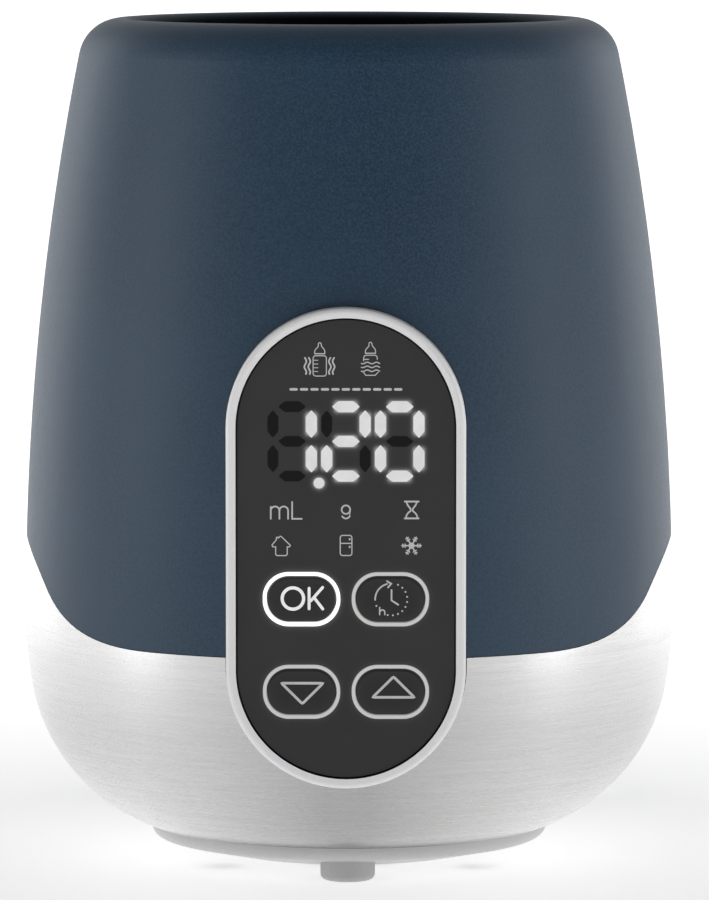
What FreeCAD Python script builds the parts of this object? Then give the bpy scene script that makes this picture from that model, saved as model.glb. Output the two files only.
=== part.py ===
import FreeCAD, Part
import math
import os
import re
import Sketcher
from FreeCAD import Placement, Rotation, Vector

# Electric baby-bottle warmer, in millimetres. +Z is up, -Y is the front, and the origin is the centre
# of the plane the feet stand on, under the axis of the round body.
# The round body is a plastic shell over a steel skirt. A flat control pod stands in its front, a heated
# water well hangs in its top, a lift-out basket stands in the well, and the mains cord leaves the back.

SIZES = {
    # meridian of the round body, from the bowl at the bottom to the rolled lip at the top
    "body_radius": 65.1, "waist_height": 50.06, "flank_radius": 571.6, "hip_radius": 83.35,
    "bowl_radius": 36.7, "bowl_start": 35.63, "shoulder_height": 162.35, "shoulder_radius": 8.6,
    "lip_radius": 2.6, "shell_wall": 2.4, "shell_foot": 9.5, "ledge_radius": 41.4,
    "ledge_height": 160.0, "collar_foot": 156.0,
    # brushed steel skirt, whose top edge is a wave with its crests at the two sides
    "skirt_sheet": 0.8, "skirt_recess": 0.9, "skirt_foot": 7.7, "wave_trough": 48.0,
    "wave_crest": 66.45, "wave_reach": 52.7, "wave_reveal": 0.15,
    # fits: parts that rest on each other are drawn a hair apart, and trim has a visible gap
    "hair": 0.02, "trim_gap": 0.2, "lens_gap": 0.3,
    # base and feet
    "base_radius": 39.8, "base_low": 2.2, "base_floor": 2.0, "base_rim": 7.5, "base_round": 2.2,
    "base_flat": 26.4, "cone_radius": 38.07, "cone_height": 4.75, "wall_low": 6.9, "floor_radius": 27.6,
    "spigot_radius": 37.8, "spigot_wall": 1.8, "spigot_top": 11.0, "post_circle": 29.0,
    "post_radius": 4.2, "post_bore": 3.3, "post_top": 36.0, "post_web": 2.6, "screw_radius": 1.5,
    "screw_pilot": 1.55, "screw_pass": 1.8, "foot_circle": 30.3, "foot_radius": 5.4,
    "foot_edge": 1.2, "foot_seat": 4.6, "foot_peg": 2.0, "vent_circle": 10.0, "vent_half_length": 5.0,
    "vent_half_width": 1.3, "standoff_radius": 2.6, "peg_length": 4.0,
    # screws: three kinds of head, and the lengths under it
    "wide_head": 2.9, "middle_head": 2.7, "small_head": 2.6, "thin_head": 1.5, "base_screw_length": 9.0,
    "liner_screw_length": 10.0, "ear_screw_bite": 2.3, "board_screw_length": 5.5, "boss_pilot_depth": 2.6,
    # water well and heater
    "well_radius": 39.2, "well_wall": 1.8, "well_rim": 42.6, "well_ledge": 32.4, "well_low": 50.0,
    "well_floor": 2.0, "well_corner": 0.7, "well_flange": 47.0, "flange_sheet": 3.0, "rim_sheet": 1.4,
    "liner_boss": 3.0, "liner_boss_height": 9.0, "table_rise": 0.8, "table_round": 1.0,
    "gasket_sheet": 1.6, "gasket_inset": 0.6, "plate_sheet": 1.2,
    "plate_radius": 38.0, "plate_step": 31.6, "spreader_outer": 30.0, "spreader_inner": 18.5,
    "spreader_sheet": 1.6, "heater_circle": 22.0, "heater_radius": 3.2, "carrier_radius": 48.5,
    "carrier_sheet": 2.8, "carrier_low": 36.0, "carrier_bore": 32.0, "carrier_wall": 2.0, "lug_sheet": 3.0,
    "lug_half_width": 4.5, "lug_half_depth": 4.0, "liner_screw_circle": 44.5, "terminal_radius": 1.4,
    "terminal_length": 5.0, "thermostat_place": 11.5, "thermostat_radius": 6.0, "thermostat_cap": 3.5,
    "thermostat_can": 6.8, "thermostat_step": 0.8, "tab_pitch": 6.0, "tab_length": 4.2, "tab_width": 4.0,
    "tab_sheet": 0.8, "fuse_place": 14.0, "fuse_radius": 1.7, "fuse_length": 9.0, "fuse_wire": 0.6,
    "fuse_wire_length": 3.0, "probe_radius": 3.0, "probe_height": 6.4,
    "probe_flange": 4.2, "probe_flange_sheet": 1.0, "spring_radius": 3.2, "spring_wire": 0.4,
    "bracket_half_width": 4.0,
    "bracket_sheet": 1.2, "bracket_guide": 1.6, "guide_height": 4.0,
    # basket
    "basket_radius": 38.4, "basket_wall": 1.6, "basket_thin": 1.1, "basket_low": 52.1, "basket_high": 150.0,
    "basket_floor": 54.5, "basket_sheet": 1.8, "slot_middle": 98.0, "slot_half_width": 5.5,
    "slot_half_height": 32.0, "ledge_bore": 26.0, "band_low": 131.0, "grip_high": 158.0, "grip_low": 142.0,
    "grip_half_width": 13.0, "grip_bar": 2.8, "grip_corner": 6.0,
    # control pod: depths are distances in front of the body's axis
    "pod_height": 69.43, "pod_half_width": 23.05, "pod_half_height": 46.33, "pod_face": 66.0,
    "pod_back": 52.4, "pod_rim": 1.95, "pod_round": 1.0, "pod_ledge": 1.5, "lens_face": 65.5,
    "lens_back": 63.5, "frame_back": 62.2, "board_face": 55.5, "board_back": 53.9,
    "key_pitch": 8.53, "key_row_high": 59.8, "key_row_low": 41.9, "ring_half_width": 7.4,
    "ring_half_height": 5.2, "ring_corner": 5.0, "ring_width": 0.65, "ring_face": 65.75,
    "ring_flange": 0.6, "ring_lip": 0.7, "key_gap": 0.15, "key_face": 65.7, "key_round": 0.5,
    "key_flange": 1.0, "switch_well": 2.6, "point_radius": 1.05,
    "plunger_radius": 1.6, "plunger_length": 3.1, "switch_side": 6.0, "switch_face": 59.0,
    "pod_boss": 2.3, "pod_screw_place": 26.2, "pod_screw_low": 46.1, "pod_screw_high": 89.2,
    "pod_screw_face": 53.4, "shell_boss": 2.5, "boss_low_reach": 3.9, "boss_high_reach": 3.4,
    "ear_half_width": 3.6, "ear_half_height": 3.2, "ear_sheet": 1.6, "digit_pitch": 10.3,
    "digit_half_width": 3.68, "digit_half_height": 6.67, "digit_height": 90.2, "segment_half": 1.08,
    "segment_taper": 1.25, "segment_reach": 2.68, "point_drop": 1.35, "module_half_width": 16.7,
    "module_half_height": 9.2, "module_face": 63.0,
    # power board and cord
    "power_low": 14.0, "power_screw_length": 6.5, "board_sheet": 1.6, "power_radius": 24.0,
    "power_screw_circle": 19.5, "can_radius": 4.0, "can_height": 11.0, "tube_radius": 2.2,
    "tube_length": 12.0,
    "cord_radius": 3.0, "cord_height": 22.0, "cord_hole": 4.5, "cord_inner": 38.0, "boot_end": 84.0,
    "table_cord": 4.1, "coil_centre": 93.0, "coil_long": 53.0, "coil_short": 33.0, "coil_pitch": 6.6,
    "plug_axis": 6.95, "plug_rear": -19.0, "plug_front": 17.0, "plug_half_width": 17.65,
    "plug_thickness": 13.4, "plug_neck": 6.5, "plug_shoulder": 14.0, "plug_round": 2.2,
    "pin_radius": 2.0, "pin_spread": 9.3, "pin_length": 19.0,
    "tie_width": 8.0, "tie_sheet": 0.6, "tie_gap": 0.25,
}

THIRDS = (90, 210, 330)      # round the axis, in degrees: the tall posts and the screws up them
FOOT_THIRDS = (270, 30, 150)  # one foot at the front, two behind, and the liner screws above them

doc = FreeCAD.newDocument("bottle_warmer")
sheet = doc.addObject("Spreadsheet::Sheet", "Sizes")
finished = []


def fill_sheet():
    for row, (name, size) in enumerate(SIZES.items(), start=1):
        sheet.set(f"A{row}", name)
        sheet.set(f"B{row}", str(size))
        sheet.setAlias(f"B{row}", name)
    doc.recompute()


def formula(text):
    """A formula in the words of SIZES, as an expression on the spreadsheet."""
    return re.sub(r"[a-z_]{4,}", lambda w: f"Sizes.{w[0]}" if w[0] in SIZES else w[0], str(text))


def value(text):
    return float(sheet.evalExpression(formula(text)))


def bind(thing, prop, text):
    thing.setExpression(prop, formula(text))


def finish(thing, label):
    """Names a finished sub-part. Its label is the name of its STEP file."""
    thing.Label = label
    finished.append(thing)
    return thing


# ---------------------------------------------------------------- sketches

def arc_between(start, end, centre, turn):
    """The arc round centre from start to end: turn is 1 anticlockwise and -1 clockwise."""
    first, last = (start, end) if turn > 0 else (end, start)
    angles = [math.atan2(p.y - centre.y, p.x - centre.x) for p in (first, last)]
    if angles[1] <= angles[0]:
        angles[1] += 2 * math.pi
    circle = Part.Circle(centre, Vector(0, 0, 1), (start - centre).Length)
    return Part.ArcOfCircle(circle, *angles)


def arc_centre(start, end, rule, size, turn):
    """The centre of an arc: one under half a turn of known radius, or one whose centre's x or y is known."""
    middle, chord = (start + end) / 2, end - start
    left = Vector(-chord.y, chord.x, 0).normalize()
    if rule == "radius":
        return middle + left * turn * math.sqrt(max(size**2 - (chord.Length / 2) ** 2, 0.0))
    if rule == "x":
        return middle + left * ((size - middle.x) / left.x)
    return middle + left * ((size - middle.y) / left.y)


def add_loop(sketch, corners):
    """Draws a closed outline and dimensions each corner. A corner is (x, y), and the edge after it is a
    line, or (x, y, rule, size, turn), and the edge after it is an arc known by its radius or its centre."""
    points = [Vector(value(c[0]), value(c[1]), 0) for c in corners]
    first = sketch.GeometryCount
    rules, bindings = [], []

    def dimension(kind, text, *where):
        rules.append(Sketcher.Constraint(kind, *where, value(text)))
        bindings.append(text)

    def corner_of(i, which):
        """The sketch's number for the start (which 0) or end (which 1) of edge i."""
        clockwise = len(corners[i]) == 5 and corners[i][4] < 0
        return (2, 1)[which] if clockwise else (1, 2)[which]

    for i, corner in enumerate(corners):
        start, end = points[i], points[(i + 1) % len(points)]
        if len(corner) == 2:
            sketch.addGeometry(Part.LineSegment(start, end), False)
            continue
        rule, size, turn = corner[2:]
        centre = arc_centre(start, end, rule, value(size), turn)
        sketch.addGeometry(arc_between(start, end, centre, turn), False)
        if rule == "radius":
            dimension("Radius", size, first + i)
        else:
            dimension("DistanceX" if rule == "x" else "DistanceY", size, -1, 1, first + i, 3)
    for i, corner in enumerate(corners):
        dimension("DistanceX", corner[0], -1, 1, first + i, corner_of(i, 0))
        dimension("DistanceY", corner[1], -1, 1, first + i, corner_of(i, 0))
    joins = []
    for i in range(len(corners)):
        after = (i + 1) % len(corners)
        ends = (first + i, corner_of(i, 1), first + after, corner_of(after, 0))
        joins.append(Sketcher.Constraint("Coincident", *ends))
    sketch.addConstraint(joins)
    at = len(sketch.Constraints)
    sketch.addConstraint(rules)
    for i, text in enumerate(bindings):
        if re.search("[a-z]", str(text)):
            bind(sketch, f"Constraints[{at + i}]", text)


def add_circle(sketch, x, y, radius):
    centre = Vector(value(x), value(y), 0)
    i = sketch.addGeometry(Part.Circle(centre, Vector(0, 0, 1), value(radius)), False)
    at = len(sketch.Constraints)
    sketch.addConstraint([
        Sketcher.Constraint("Radius", i, value(radius)),
        Sketcher.Constraint("DistanceX", -1, 1, i, 3, value(x)),
        Sketcher.Constraint("DistanceY", -1, 1, i, 3, value(y)),
    ])
    for k, text in enumerate((radius, x, y)):
        if re.search("[a-z]", str(text)):
            bind(sketch, f"Constraints[{at + k}]", text)


def box_loop(x, y, half_width, half_height):
    return [(f"{x} + {a}*({half_width})", f"{y} + {b}*({half_height})")
            for a, b in ((1, -1), (1, 1), (-1, 1), (-1, -1))]


def rounded_loop(x, y, half_width, half_height, corner):
    """A rectangle with round corners, anticlockwise from the foot of its right side."""
    out = []
    for a, b in ((1, 1), (-1, 1), (-1, -1), (1, -1)):
        side = (f"{x} + {a}*({half_width})", f"{y} + {b}*(({half_height}) - ({corner}))")
        end = (f"{x} + {a}*(({half_width}) - ({corner}))", f"{y} + {b}*({half_height})")
        first, second = (side, end) if a * b > 0 else (end, side)
        out += [(*first, "radius", corner, 1), second]
    return out


def upright_oblong(x, y, half_width, half_height):
    """An outline with straight sides and half-round ends at the top and bottom."""
    straight = f"(({half_height}) - ({half_width}))"
    top, bottom = f"{y} + {straight}", f"{y} - {straight}"
    return [
        (f"{x} + ({half_width})", bottom),
        (f"{x} + ({half_width})", top, "y", top, 1),
        (f"{x} - ({half_width})", top),
        (f"{x} - ({half_width})", bottom, "y", bottom, 1),
    ]


# ---------------------------------------------------------------- bodies

def origin_part(body, role):
    return next(f for f in body.Origin.OriginFeatures if f.Role == role)


def new_body(label):
    return doc.addObject("PartDesign::Body", label)


def new_sketch(body, plane, offset=0):
    """A sketch on one of the body's own planes. XZ looks to the front, so its offset is a depth forward."""
    sketch = body.newObject("Sketcher::SketchObject", body.Name + "_sketch")
    sketch.AttachmentSupport = (origin_part(body, plane + "_Plane"), [""])
    sketch.MapMode = "FlatFace"
    bind(sketch, "AttachmentOffset.Base.z", f"{offset} + 0")
    return sketch


def feature(body, kind, sketch, **sizes):
    made = body.newObject("PartDesign::" + kind, body.Name + "_" + kind.lower())
    made.Profile = sketch
    for prop, text in sizes.items():
        if isinstance(text, bool):
            setattr(made, prop, text)
        else:
            bind(made, prop, f"{text} + 0")
    sketch.Visibility = False
    body.Tip = made
    return made


def turned(label, loops):
    """A body turned about Z from outlines in the plane of its axis: x is the radius and y the height."""
    body = new_body(label)
    sketch = new_sketch(body, "XZ")
    for corners in loops:
        add_loop(sketch, corners)
    made = feature(body, "Revolution", sketch)
    made.ReferenceAxis = (sketch, ["V_Axis"])
    made.Angle = 360
    return body


def raise_from(body, plane, offset, length, loops=(), circles=(), back=False, kind="Pad"):
    """Pads or pockets outlines from a plane. A pad goes along the plane's normal unless back is set."""
    sketch = new_sketch(body, plane, offset)
    for corners in loops:
        add_loop(sketch, corners)
    for circle in circles:
        add_circle(sketch, *circle)
    return feature(body, kind, sketch, Length=length, Reversed=back)


def slab(label, low, thickness, loops=(), circles=()):
    """A body raised along Z from the height low."""
    body = new_body(label)
    raise_from(body, "XY", low, thickness, loops, circles)
    return body


def front_slab(label, face, back, loops=(), circles=(), body=None):
    """A body, or one more pad of it, between two depths forward of the axis."""
    body = body or new_body(label)
    raise_from(body, "XZ", face, f"({face}) - ({back})", loops, circles, back=True)
    return body


def repeat_round(body, made, count):
    """Repeats a feature count times round Z."""
    pattern = body.newObject("PartDesign::PolarPattern", body.Name + "_round")
    pattern.Originals = [made]
    pattern.Axis = (origin_part(body, "Z_Axis"), [""])
    pattern.Angle = 360
    pattern.Occurrences = count
    body.Tip = pattern
    return pattern


def round_edges(body, radius, chosen, kind="Fillet"):
    """Rounds the edges that chosen(edge) picks out of the body's present shape."""
    doc.recompute()
    tip = body.Tip
    names = [f"Edge{i + 1}" for i, e in enumerate(tip.Shape.Edges) if chosen(e)]
    made = body.newObject("PartDesign::" + kind, body.Name + "_" + kind.lower())
    made.Base = (tip, names)
    bind(made, "Radius" if kind == "Fillet" else "Size", f"{radius} + 0")
    body.Tip = made
    return made


def lies_at(axis, place, slack=0.01):
    """Picks the edges that lie wholly at one place along x, y or z."""
    def chosen(edge):
        box = edge.BoundBox
        low, high = {"x": (box.XMin, box.XMax), "y": (box.YMin, box.YMax), "z": (box.ZMin, box.ZMax)}[axis]
        return abs(low - value(place)) < slack and abs(high - value(place)) < slack
    return chosen


def boolean(kind, label, base, tool):
    made = doc.addObject("Part::" + kind, label)
    made.Base, made.Tool = base, tool
    return made


def together(label, parts):
    """Several separate solids that share one node."""
    made = doc.addObject("Part::Compound", label)
    made.Links = parts
    return made


def fused(label, parts):
    made = doc.addObject("Part::MultiFuse", label)
    made.Shapes = parts
    return made


def cylinder(label, radius, height, x=0, y=0, z=0, direction="Z"):
    """A cylinder that starts at (x, y, z) and runs up Z, or back along Y, or along X."""
    made = doc.addObject("Part::Cylinder", label)
    bind(made, "Radius", f"{radius} + 0")
    bind(made, "Height", f"{height} + 0")
    turn = {"Z": Rotation(), "Y": Rotation(Vector(1, 0, 0), -90), "X": Rotation(Vector(0, 1, 0), 90)}
    made.Placement = Placement(Vector(), turn[direction])
    for name, place in zip("xyz", (x, y, z)):
        bind(made, f"Placement.Base.{name}", f"{place} + 0")
    return made


def block(label, low, size):
    """A box from its lowest corner and its size."""
    made = doc.addObject("Part::Box", label)
    for prop, text in zip(("Length", "Width", "Height"), size):
        bind(made, prop, f"{text} + 0")
    for name, place in zip("xyz", low):
        bind(made, f"Placement.Base.{name}", f"{place} + 0")
    return made


def polar(circle, degrees):
    """The x and y of a place on a circle round the axis, as formulas."""
    return f"({circle})*cos({degrees}deg)", f"({circle})*sin({degrees}deg)"


def screw(label, x, y, z, length, direction, head_radius="screw_radius*2", head="screw_radius*1.1"):
    """A pan-head screw. (x, y, z) is the middle of the face under its head, and direction is the way its
    shank points: up, down, or front."""
    way = {"up": Rotation(), "down": Rotation(Vector(1, 0, 0), 180), "front": Rotation(Vector(1, 0, 0), 90)}
    shank = cylinder(label + "_shank", "screw_radius", length)
    cap = cylinder(label + "_head", head_radius, head, z=f"-({head})")
    made = fused(label, [shank, cap])
    made.Placement = Placement(Vector(value(x), value(y), value(z)), way[direction])
    for name, place in zip("xyz", (x, y, z)):
        bind(made, f"Placement.Base.{name}", f"{place} + 0")
    return made


def cable(label, points, radius):
    """A round cable through points in space. Its first and last stretches are straight."""
    first, *bends, last = [Vector(*p) for p in points]
    curve = Part.BSplineCurve()
    ends = [(after - before).normalize() for before, after in ((first, bends[0]), (bends[-1], last))]
    curve.interpolate(Points=bends, InitialTangent=ends[0], FinalTangent=ends[1], Scale=False)
    lead, tail = Part.LineSegment(first, bends[0]), Part.LineSegment(bends[-1], last)
    spine = Part.Wire([lead.toShape(), curve.toShape(), tail.toShape()])
    circle = Part.Circle(first, bends[0] - first, value(radius))
    pipe = Part.BRepOffsetAPI.MakePipeShell(spine)
    pipe.add(Part.Wire(circle.toShape()))
    pipe.build()
    pipe.makeSolid()
    made = doc.addObject("Part::Feature", label)
    made.Shape = pipe.shape()
    return made


# ---------------------------------------------------------------- meridian of the round body
# Four arcs that meet smoothly. Every inset copy keeps their centres, so walls are even.

HIP_SINE = "((waist_height - bowl_start)/hip_radius)"
HIP_COSINE = f"sqrt(1 - {HIP_SINE}^2)"
FLANK_SINE = "((shoulder_height - waist_height)/flank_radius)"
FLANK_COSINE = f"sqrt(1 - {FLANK_SINE}^2)"
BOWL_X = f"(body_radius - hip_radius + (hip_radius - bowl_radius)*{HIP_COSINE})"
BOWL_Z = f"(waist_height - (hip_radius - bowl_radius)*{HIP_SINE})"
CROWN_X = f"(body_radius - flank_radius + (flank_radius - shoulder_radius)*{FLANK_COSINE})"
CROWN_Z = f"(waist_height + (flank_radius - shoulder_radius)*{FLANK_SINE} + shoulder_radius)"


def on_bowl(height, inset):
    return f"{BOWL_X} + sqrt((bowl_radius - ({inset}))^2 - ({BOWL_Z} - ({height}))^2)", height


def on_flank(height, inset):
    run = f"sqrt((flank_radius - ({inset}))^2 - (({height}) - waist_height)^2)"
    return f"body_radius - flank_radius + {run}", height


def bowl_to_hip(inset):
    return (f"body_radius - hip_radius + (hip_radius - ({inset}))*{HIP_COSINE}",
            f"waist_height - (hip_radius - ({inset}))*{HIP_SINE}")


def waist(inset):
    return f"body_radius - ({inset})", "waist_height"


def flank_to_shoulder(inset):
    return (f"body_radius - flank_radius + (flank_radius - ({inset}))*{FLANK_COSINE}",
            f"waist_height + (flank_radius - ({inset}))*{FLANK_SINE}")


def side_skin(outer, inner, low, high):
    """A skin of the body's side between two insets and two heights."""
    return [
        (*on_bowl(low, outer), "radius", f"bowl_radius - ({outer})", 1),
        (*bowl_to_hip(outer), "radius", f"hip_radius - ({outer})", 1),
        (*waist(outer), "radius", f"flank_radius - ({outer})", 1),
        on_flank(high, outer),
        (*on_flank(high, inner), "radius", f"flank_radius - ({inner})", -1),
        (*waist(inner), "radius", f"hip_radius - ({inner})", -1),
        (*bowl_to_hip(inner), "radius", f"bowl_radius - ({inner})", -1),
        on_bowl(low, inner),
    ]


def below_wave(label, drop):
    """Everything under the wave line. The line is drawn as seen from the side, so it is the same at the
    front and back, low where it passes under the pod and high at the two sides."""
    body = new_body(label)
    rise, outside = "(wave_crest - wave_trough)", "(2*body_radius)"
    bend = f"(wave_reach^2 + {rise}^2)/(4*{rise})"
    trough, middle = f"wave_trough - {drop}", f"(wave_trough + wave_crest)/2 - {drop}"
    raise_from(body, "YZ", f"-{outside}", f"2*{outside}", [[
        (f"-{outside}", "-wave_reach"),
        (outside, "-wave_reach"),
        (outside, trough),
        ("wave_reach", trough, "radius", bend, -1),
        ("wave_reach/2", middle, "radius", bend, 1),
        ("-wave_reach/2", middle, "radius", bend, -1),
        ("-wave_reach", trough),
        (f"-{outside}", trough),
    ]])
    return body


def pod_opening(label, gap):
    """The way through the body's front for the control pod."""
    size = [f"{half} + {gap}" for half in ("pod_half_width", "pod_half_height")]
    return front_slab(label, "2*body_radius", "body_radius/2", [upright_oblong("0", "pod_height", *size)])


def cord_opening(label, gap):
    """The way through the body's back for the cord's boot."""
    return cylinder(label, f"cord_hole + {gap}", "body_radius", 0, "body_radius/2", "cord_height", "Y")


# ---------------------------------------------------------------- casing

POD_SCREW_PLACES = [(side, height) for side in ("-pod_screw_place", "pod_screw_place")
                    for height in ("pod_screw_low", "pod_screw_high")]


def make_outer_shell():
    skin = turned("shell_turned", [[
        (*on_bowl("shell_foot", "0"), "radius", "bowl_radius", 1),
        (*bowl_to_hip("0"), "radius", "hip_radius", 1),
        (*waist("0"), "radius", "flank_radius", 1),
        (*flank_to_shoulder("0"), "radius", "shoulder_radius", 1),
        (CROWN_X, CROWN_Z, "radius", "lip_radius", 1),
        (f"{CROWN_X} - lip_radius", f"{CROWN_Z} - lip_radius"),
        (f"{CROWN_X} - lip_radius", "ledge_height"),
        ("ledge_radius", "ledge_height"),
        ("ledge_radius", "collar_foot"),
        (CROWN_X, "collar_foot"),
        (CROWN_X, f"{CROWN_Z} - shell_wall", "radius", "shoulder_radius - shell_wall", -1),
        (*flank_to_shoulder("shell_wall"), "radius", "flank_radius - shell_wall", -1),
        (*waist("shell_wall"), "radius", "hip_radius - shell_wall", -1),
        (*bowl_to_hip("shell_wall"), "radius", "bowl_radius - shell_wall", -1),
        on_bowl("shell_foot", "shell_wall"),
    ]])
    outside = turned("recess_skin", [side_skin("-1", "skirt_recess", "skirt_foot", "wave_crest + 10")])
    recess = boolean("Common", "skirt_seat", outside, below_wave("shell_wave", "0"))
    seated = boolean("Cut", "shell_seated", skin, recess)
    # the bosses end inside the skin, which is nearer to the axis at the upper row
    rows = [("pod_screw_low", "boss_low_reach"), ("pod_screw_high", "boss_high_reach")]
    bosses = [front_slab(f"bosses_at_{row}", f"pod_screw_face + {reach}", "pod_screw_face",
                         circles=[(x, z, "shell_boss") for x, z in POD_SCREW_PLACES if z == row])
              for row, reach in rows]
    whole = fused("shell_bossed", [seated, *bosses])
    pilots = front_slab("pod_pilots", "pod_screw_face + boss_pilot_depth", "pod_screw_face",
                        circles=[(x, z, "screw_pilot") for x, z in POD_SCREW_PLACES])
    drilled = boolean("Cut", "shell_drilled", whole, pilots)
    open_front = boolean("Cut", "shell_open_front", drilled, pod_opening("shell_pod_hole", "0.75*trim_gap"))
    return finish(boolean("Cut", "shell", open_front, cord_opening("shell_cord_hole", "0")), "outer_shell")


def make_steel_skirt():
    sheet_metal = turned("skirt_turned", [side_skin("0", "skirt_sheet", "skirt_foot", "wave_crest + 5")])
    trimmed = boolean("Common", "skirt_trimmed", sheet_metal, below_wave("skirt_wave", "wave_reveal"))
    open_front = boolean("Cut", "skirt_open_front", trimmed, pod_opening("skirt_pod_hole", "trim_gap"))
    cord_hole = cord_opening("skirt_cord_hole", "trim_gap")
    return finish(boolean("Cut", "skirt", open_front, cord_hole), "steel_skirt")


# the underside of the base: flat in the middle, then a shallow cone out to a round edge
DISH = [
    ("0", "base_low"),
    ("base_flat", "base_low"),
    ("cone_radius", "cone_height", "radius", "base_round", 1),
    ("base_radius", "wall_low"),
    ("base_radius", "base_rim"),
]


def make_base_plate():
    """A shallow dish with a spigot inside the shell, three tall posts and three board standoffs."""
    floor, through = "base_low + base_floor", "base_rim + 1"
    body = turned("base_turned", [[
        *DISH,
        ("spigot_radius", "base_rim"),
        ("spigot_radius", "spigot_top"),
        ("spigot_radius - spigot_wall", "spigot_top"),
        ("spigot_radius - spigot_wall", "base_rim"),
        ("floor_radius", floor),
        ("0", floor),
    ]])
    posts = [(*polar("post_circle", a), "post_radius") for a in THIRDS]
    root = f"{floor} - 0.3"
    raise_from(body, "XY", root, f"post_top - ({root})", circles=posts)
    bores = [(*polar("post_circle", a), "post_bore") for a in THIRDS]
    raise_from(body, "XY", "0", "post_top - post_web", circles=bores, back=True, kind="Pocket")
    holes = [(*polar("post_circle", a), "screw_pass") for a in THIRDS]
    raise_from(body, "XY", "0", "post_top + 1", circles=holes, back=True, kind="Pocket")
    standoffs = [(*polar("power_screw_circle", a + 30), "standoff_radius") for a in THIRDS]
    raise_from(body, "XY", root, f"power_low - ({root})", circles=standoffs)
    pilots = [(*polar("power_screw_circle", a + 30), "screw_pilot") for a in THIRDS]
    raise_from(body, "XY", "power_low", "power_screw_length + 0.5", circles=pilots, kind="Pocket")
    slot = rounded_loop("vent_circle", "0", "vent_half_length", "vent_half_width", "0.9*vent_half_width")
    vent = raise_from(body, "XY", "0", through, [slot], back=True, kind="Pocket")
    repeat_round(body, vent, 6)
    seats = [(*polar("foot_circle", a), "foot_peg + 0.1") for a in FOOT_THIRDS]
    raise_from(body, "XY", "0", through, circles=seats, back=True, kind="Pocket")
    return finish(body, "base_plate")


def make_rubber_feet():
    """Each foot is a soft cap that wraps the dish's round edge, with a peg through the floor."""
    feet = []
    for i, angle in enumerate(FOOT_THIRDS):
        x, y = polar("foot_circle", angle)
        body = new_body(f"foot_{i}")
        raise_from(body, "XY", "0", "foot_seat", circles=[(x, y, "foot_radius")])
        round_edges(body, "foot_edge", lies_at("z", "0"))
        feet.append(body)
    dish = turned("foot_dish_cut", [[*DISH, ("0", "base_rim")]])
    capped = [boolean("Cut", f"foot_cap_{i}", foot, dish) for i, foot in enumerate(feet)]
    pegs = [cylinder(f"foot_peg_{i}", "foot_peg", "peg_length", *polar("foot_circle", angle),
                     "base_low - 0.2") for i, angle in enumerate(FOOT_THIRDS)]
    whole = [fused(f"foot_whole_{i}", [cap, peg]) for i, (cap, peg) in enumerate(zip(capped, pegs))]
    return finish(together("feet", whole), "rubber_feet")


def make_base_screws():
    under = "post_top - post_web"
    screws = [screw(f"base_screw_{a}", *polar("post_circle", a), under, "base_screw_length", "up",
                    "post_bore - 0.3") for a in THIRDS]
    return finish(together("base_screws_all", screws), "base_screws")


# ---------------------------------------------------------------- water well and heater

def make_well_liner():
    outer = "(well_radius + well_wall)"
    body = turned("liner_turned", [[
        ("well_ledge", "well_low"),
        ("well_flange", "well_low"),
        ("well_flange", "well_low + flange_sheet"),
        (outer, "well_low + flange_sheet"),
        (outer, "ledge_height + hair"),
        ("well_rim", "ledge_height + hair"),
        ("well_rim", "ledge_height + rim_sheet"),
        ("well_radius", "ledge_height + rim_sheet"),
        ("well_radius", "well_low + well_floor + well_corner", "radius", "well_corner", -1),
        ("well_radius - well_corner", "well_low + well_floor"),
        ("well_ledge", "well_low + well_floor"),
    ]])
    bosses = [(*polar("liner_screw_circle", a), "liner_boss") for a in FOOT_THIRDS]
    raise_from(body, "XY", "well_low", "liner_boss_height", circles=bosses)
    pilots = [(*polar("liner_screw_circle", a), "screw_pilot") for a in FOOT_THIRDS]
    raise_from(body, "XY", "well_low", "liner_boss_height - 1.5", circles=pilots, back=True, kind="Pocket")
    return finish(body, "well_liner")


def make_plate_gasket():
    top, under = "well_low - hair", "well_low - gasket_sheet + hair"
    inner, outer = "well_ledge + gasket_inset", "plate_radius - gasket_inset"
    section = [(inner, under), (outer, under), (outer, top), (inner, top)]
    return finish(turned("gasket_turned", [section]), "plate_gasket")


def make_heating_plate():
    """A pressed steel dish: a flange under the gasket and a raised table in the middle of the well."""
    low = "(well_low - gasket_sheet - plate_sheet)"
    table = "(well_low + table_rise)"
    return finish(turned("plate_turned", [[
        ("0", f"{table} - plate_sheet"),
        ("plate_step - plate_sheet", f"{table} - plate_sheet"),
        ("plate_step - plate_sheet", low),
        ("plate_radius", low),
        ("plate_radius", f"{low} + plate_sheet"),
        ("plate_step", f"{low} + plate_sheet"),
        ("plate_step", f"{table} - table_round", "radius", "table_round", 1),
        ("plate_step - table_round", table),
        ("0", table),
    ]]), "heating_plate")


HEATER_TOP = "(well_low + table_rise - plate_sheet - hair)"
SPREADER_LOW = f"({HEATER_TOP} - spreader_sheet)"
HEATER_MIDDLE = f"({SPREADER_LOW} - heater_radius - hair)"
TERMINAL_LOW = f"({HEATER_MIDDLE} - heater_radius - hair - terminal_length)"
HEATER_START, HEATER_SWEEP = 75, 330  # degrees: where the open ring starts, and how far it goes round


def make_heat_spreader():
    return finish(turned("spreader_turned", [[
        ("spreader_inner", SPREADER_LOW), ("spreader_outer", SPREADER_LOW),
        ("spreader_outer", HEATER_TOP), ("spreader_inner", HEATER_TOP),
    ]]), "heat_spreader")


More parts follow.
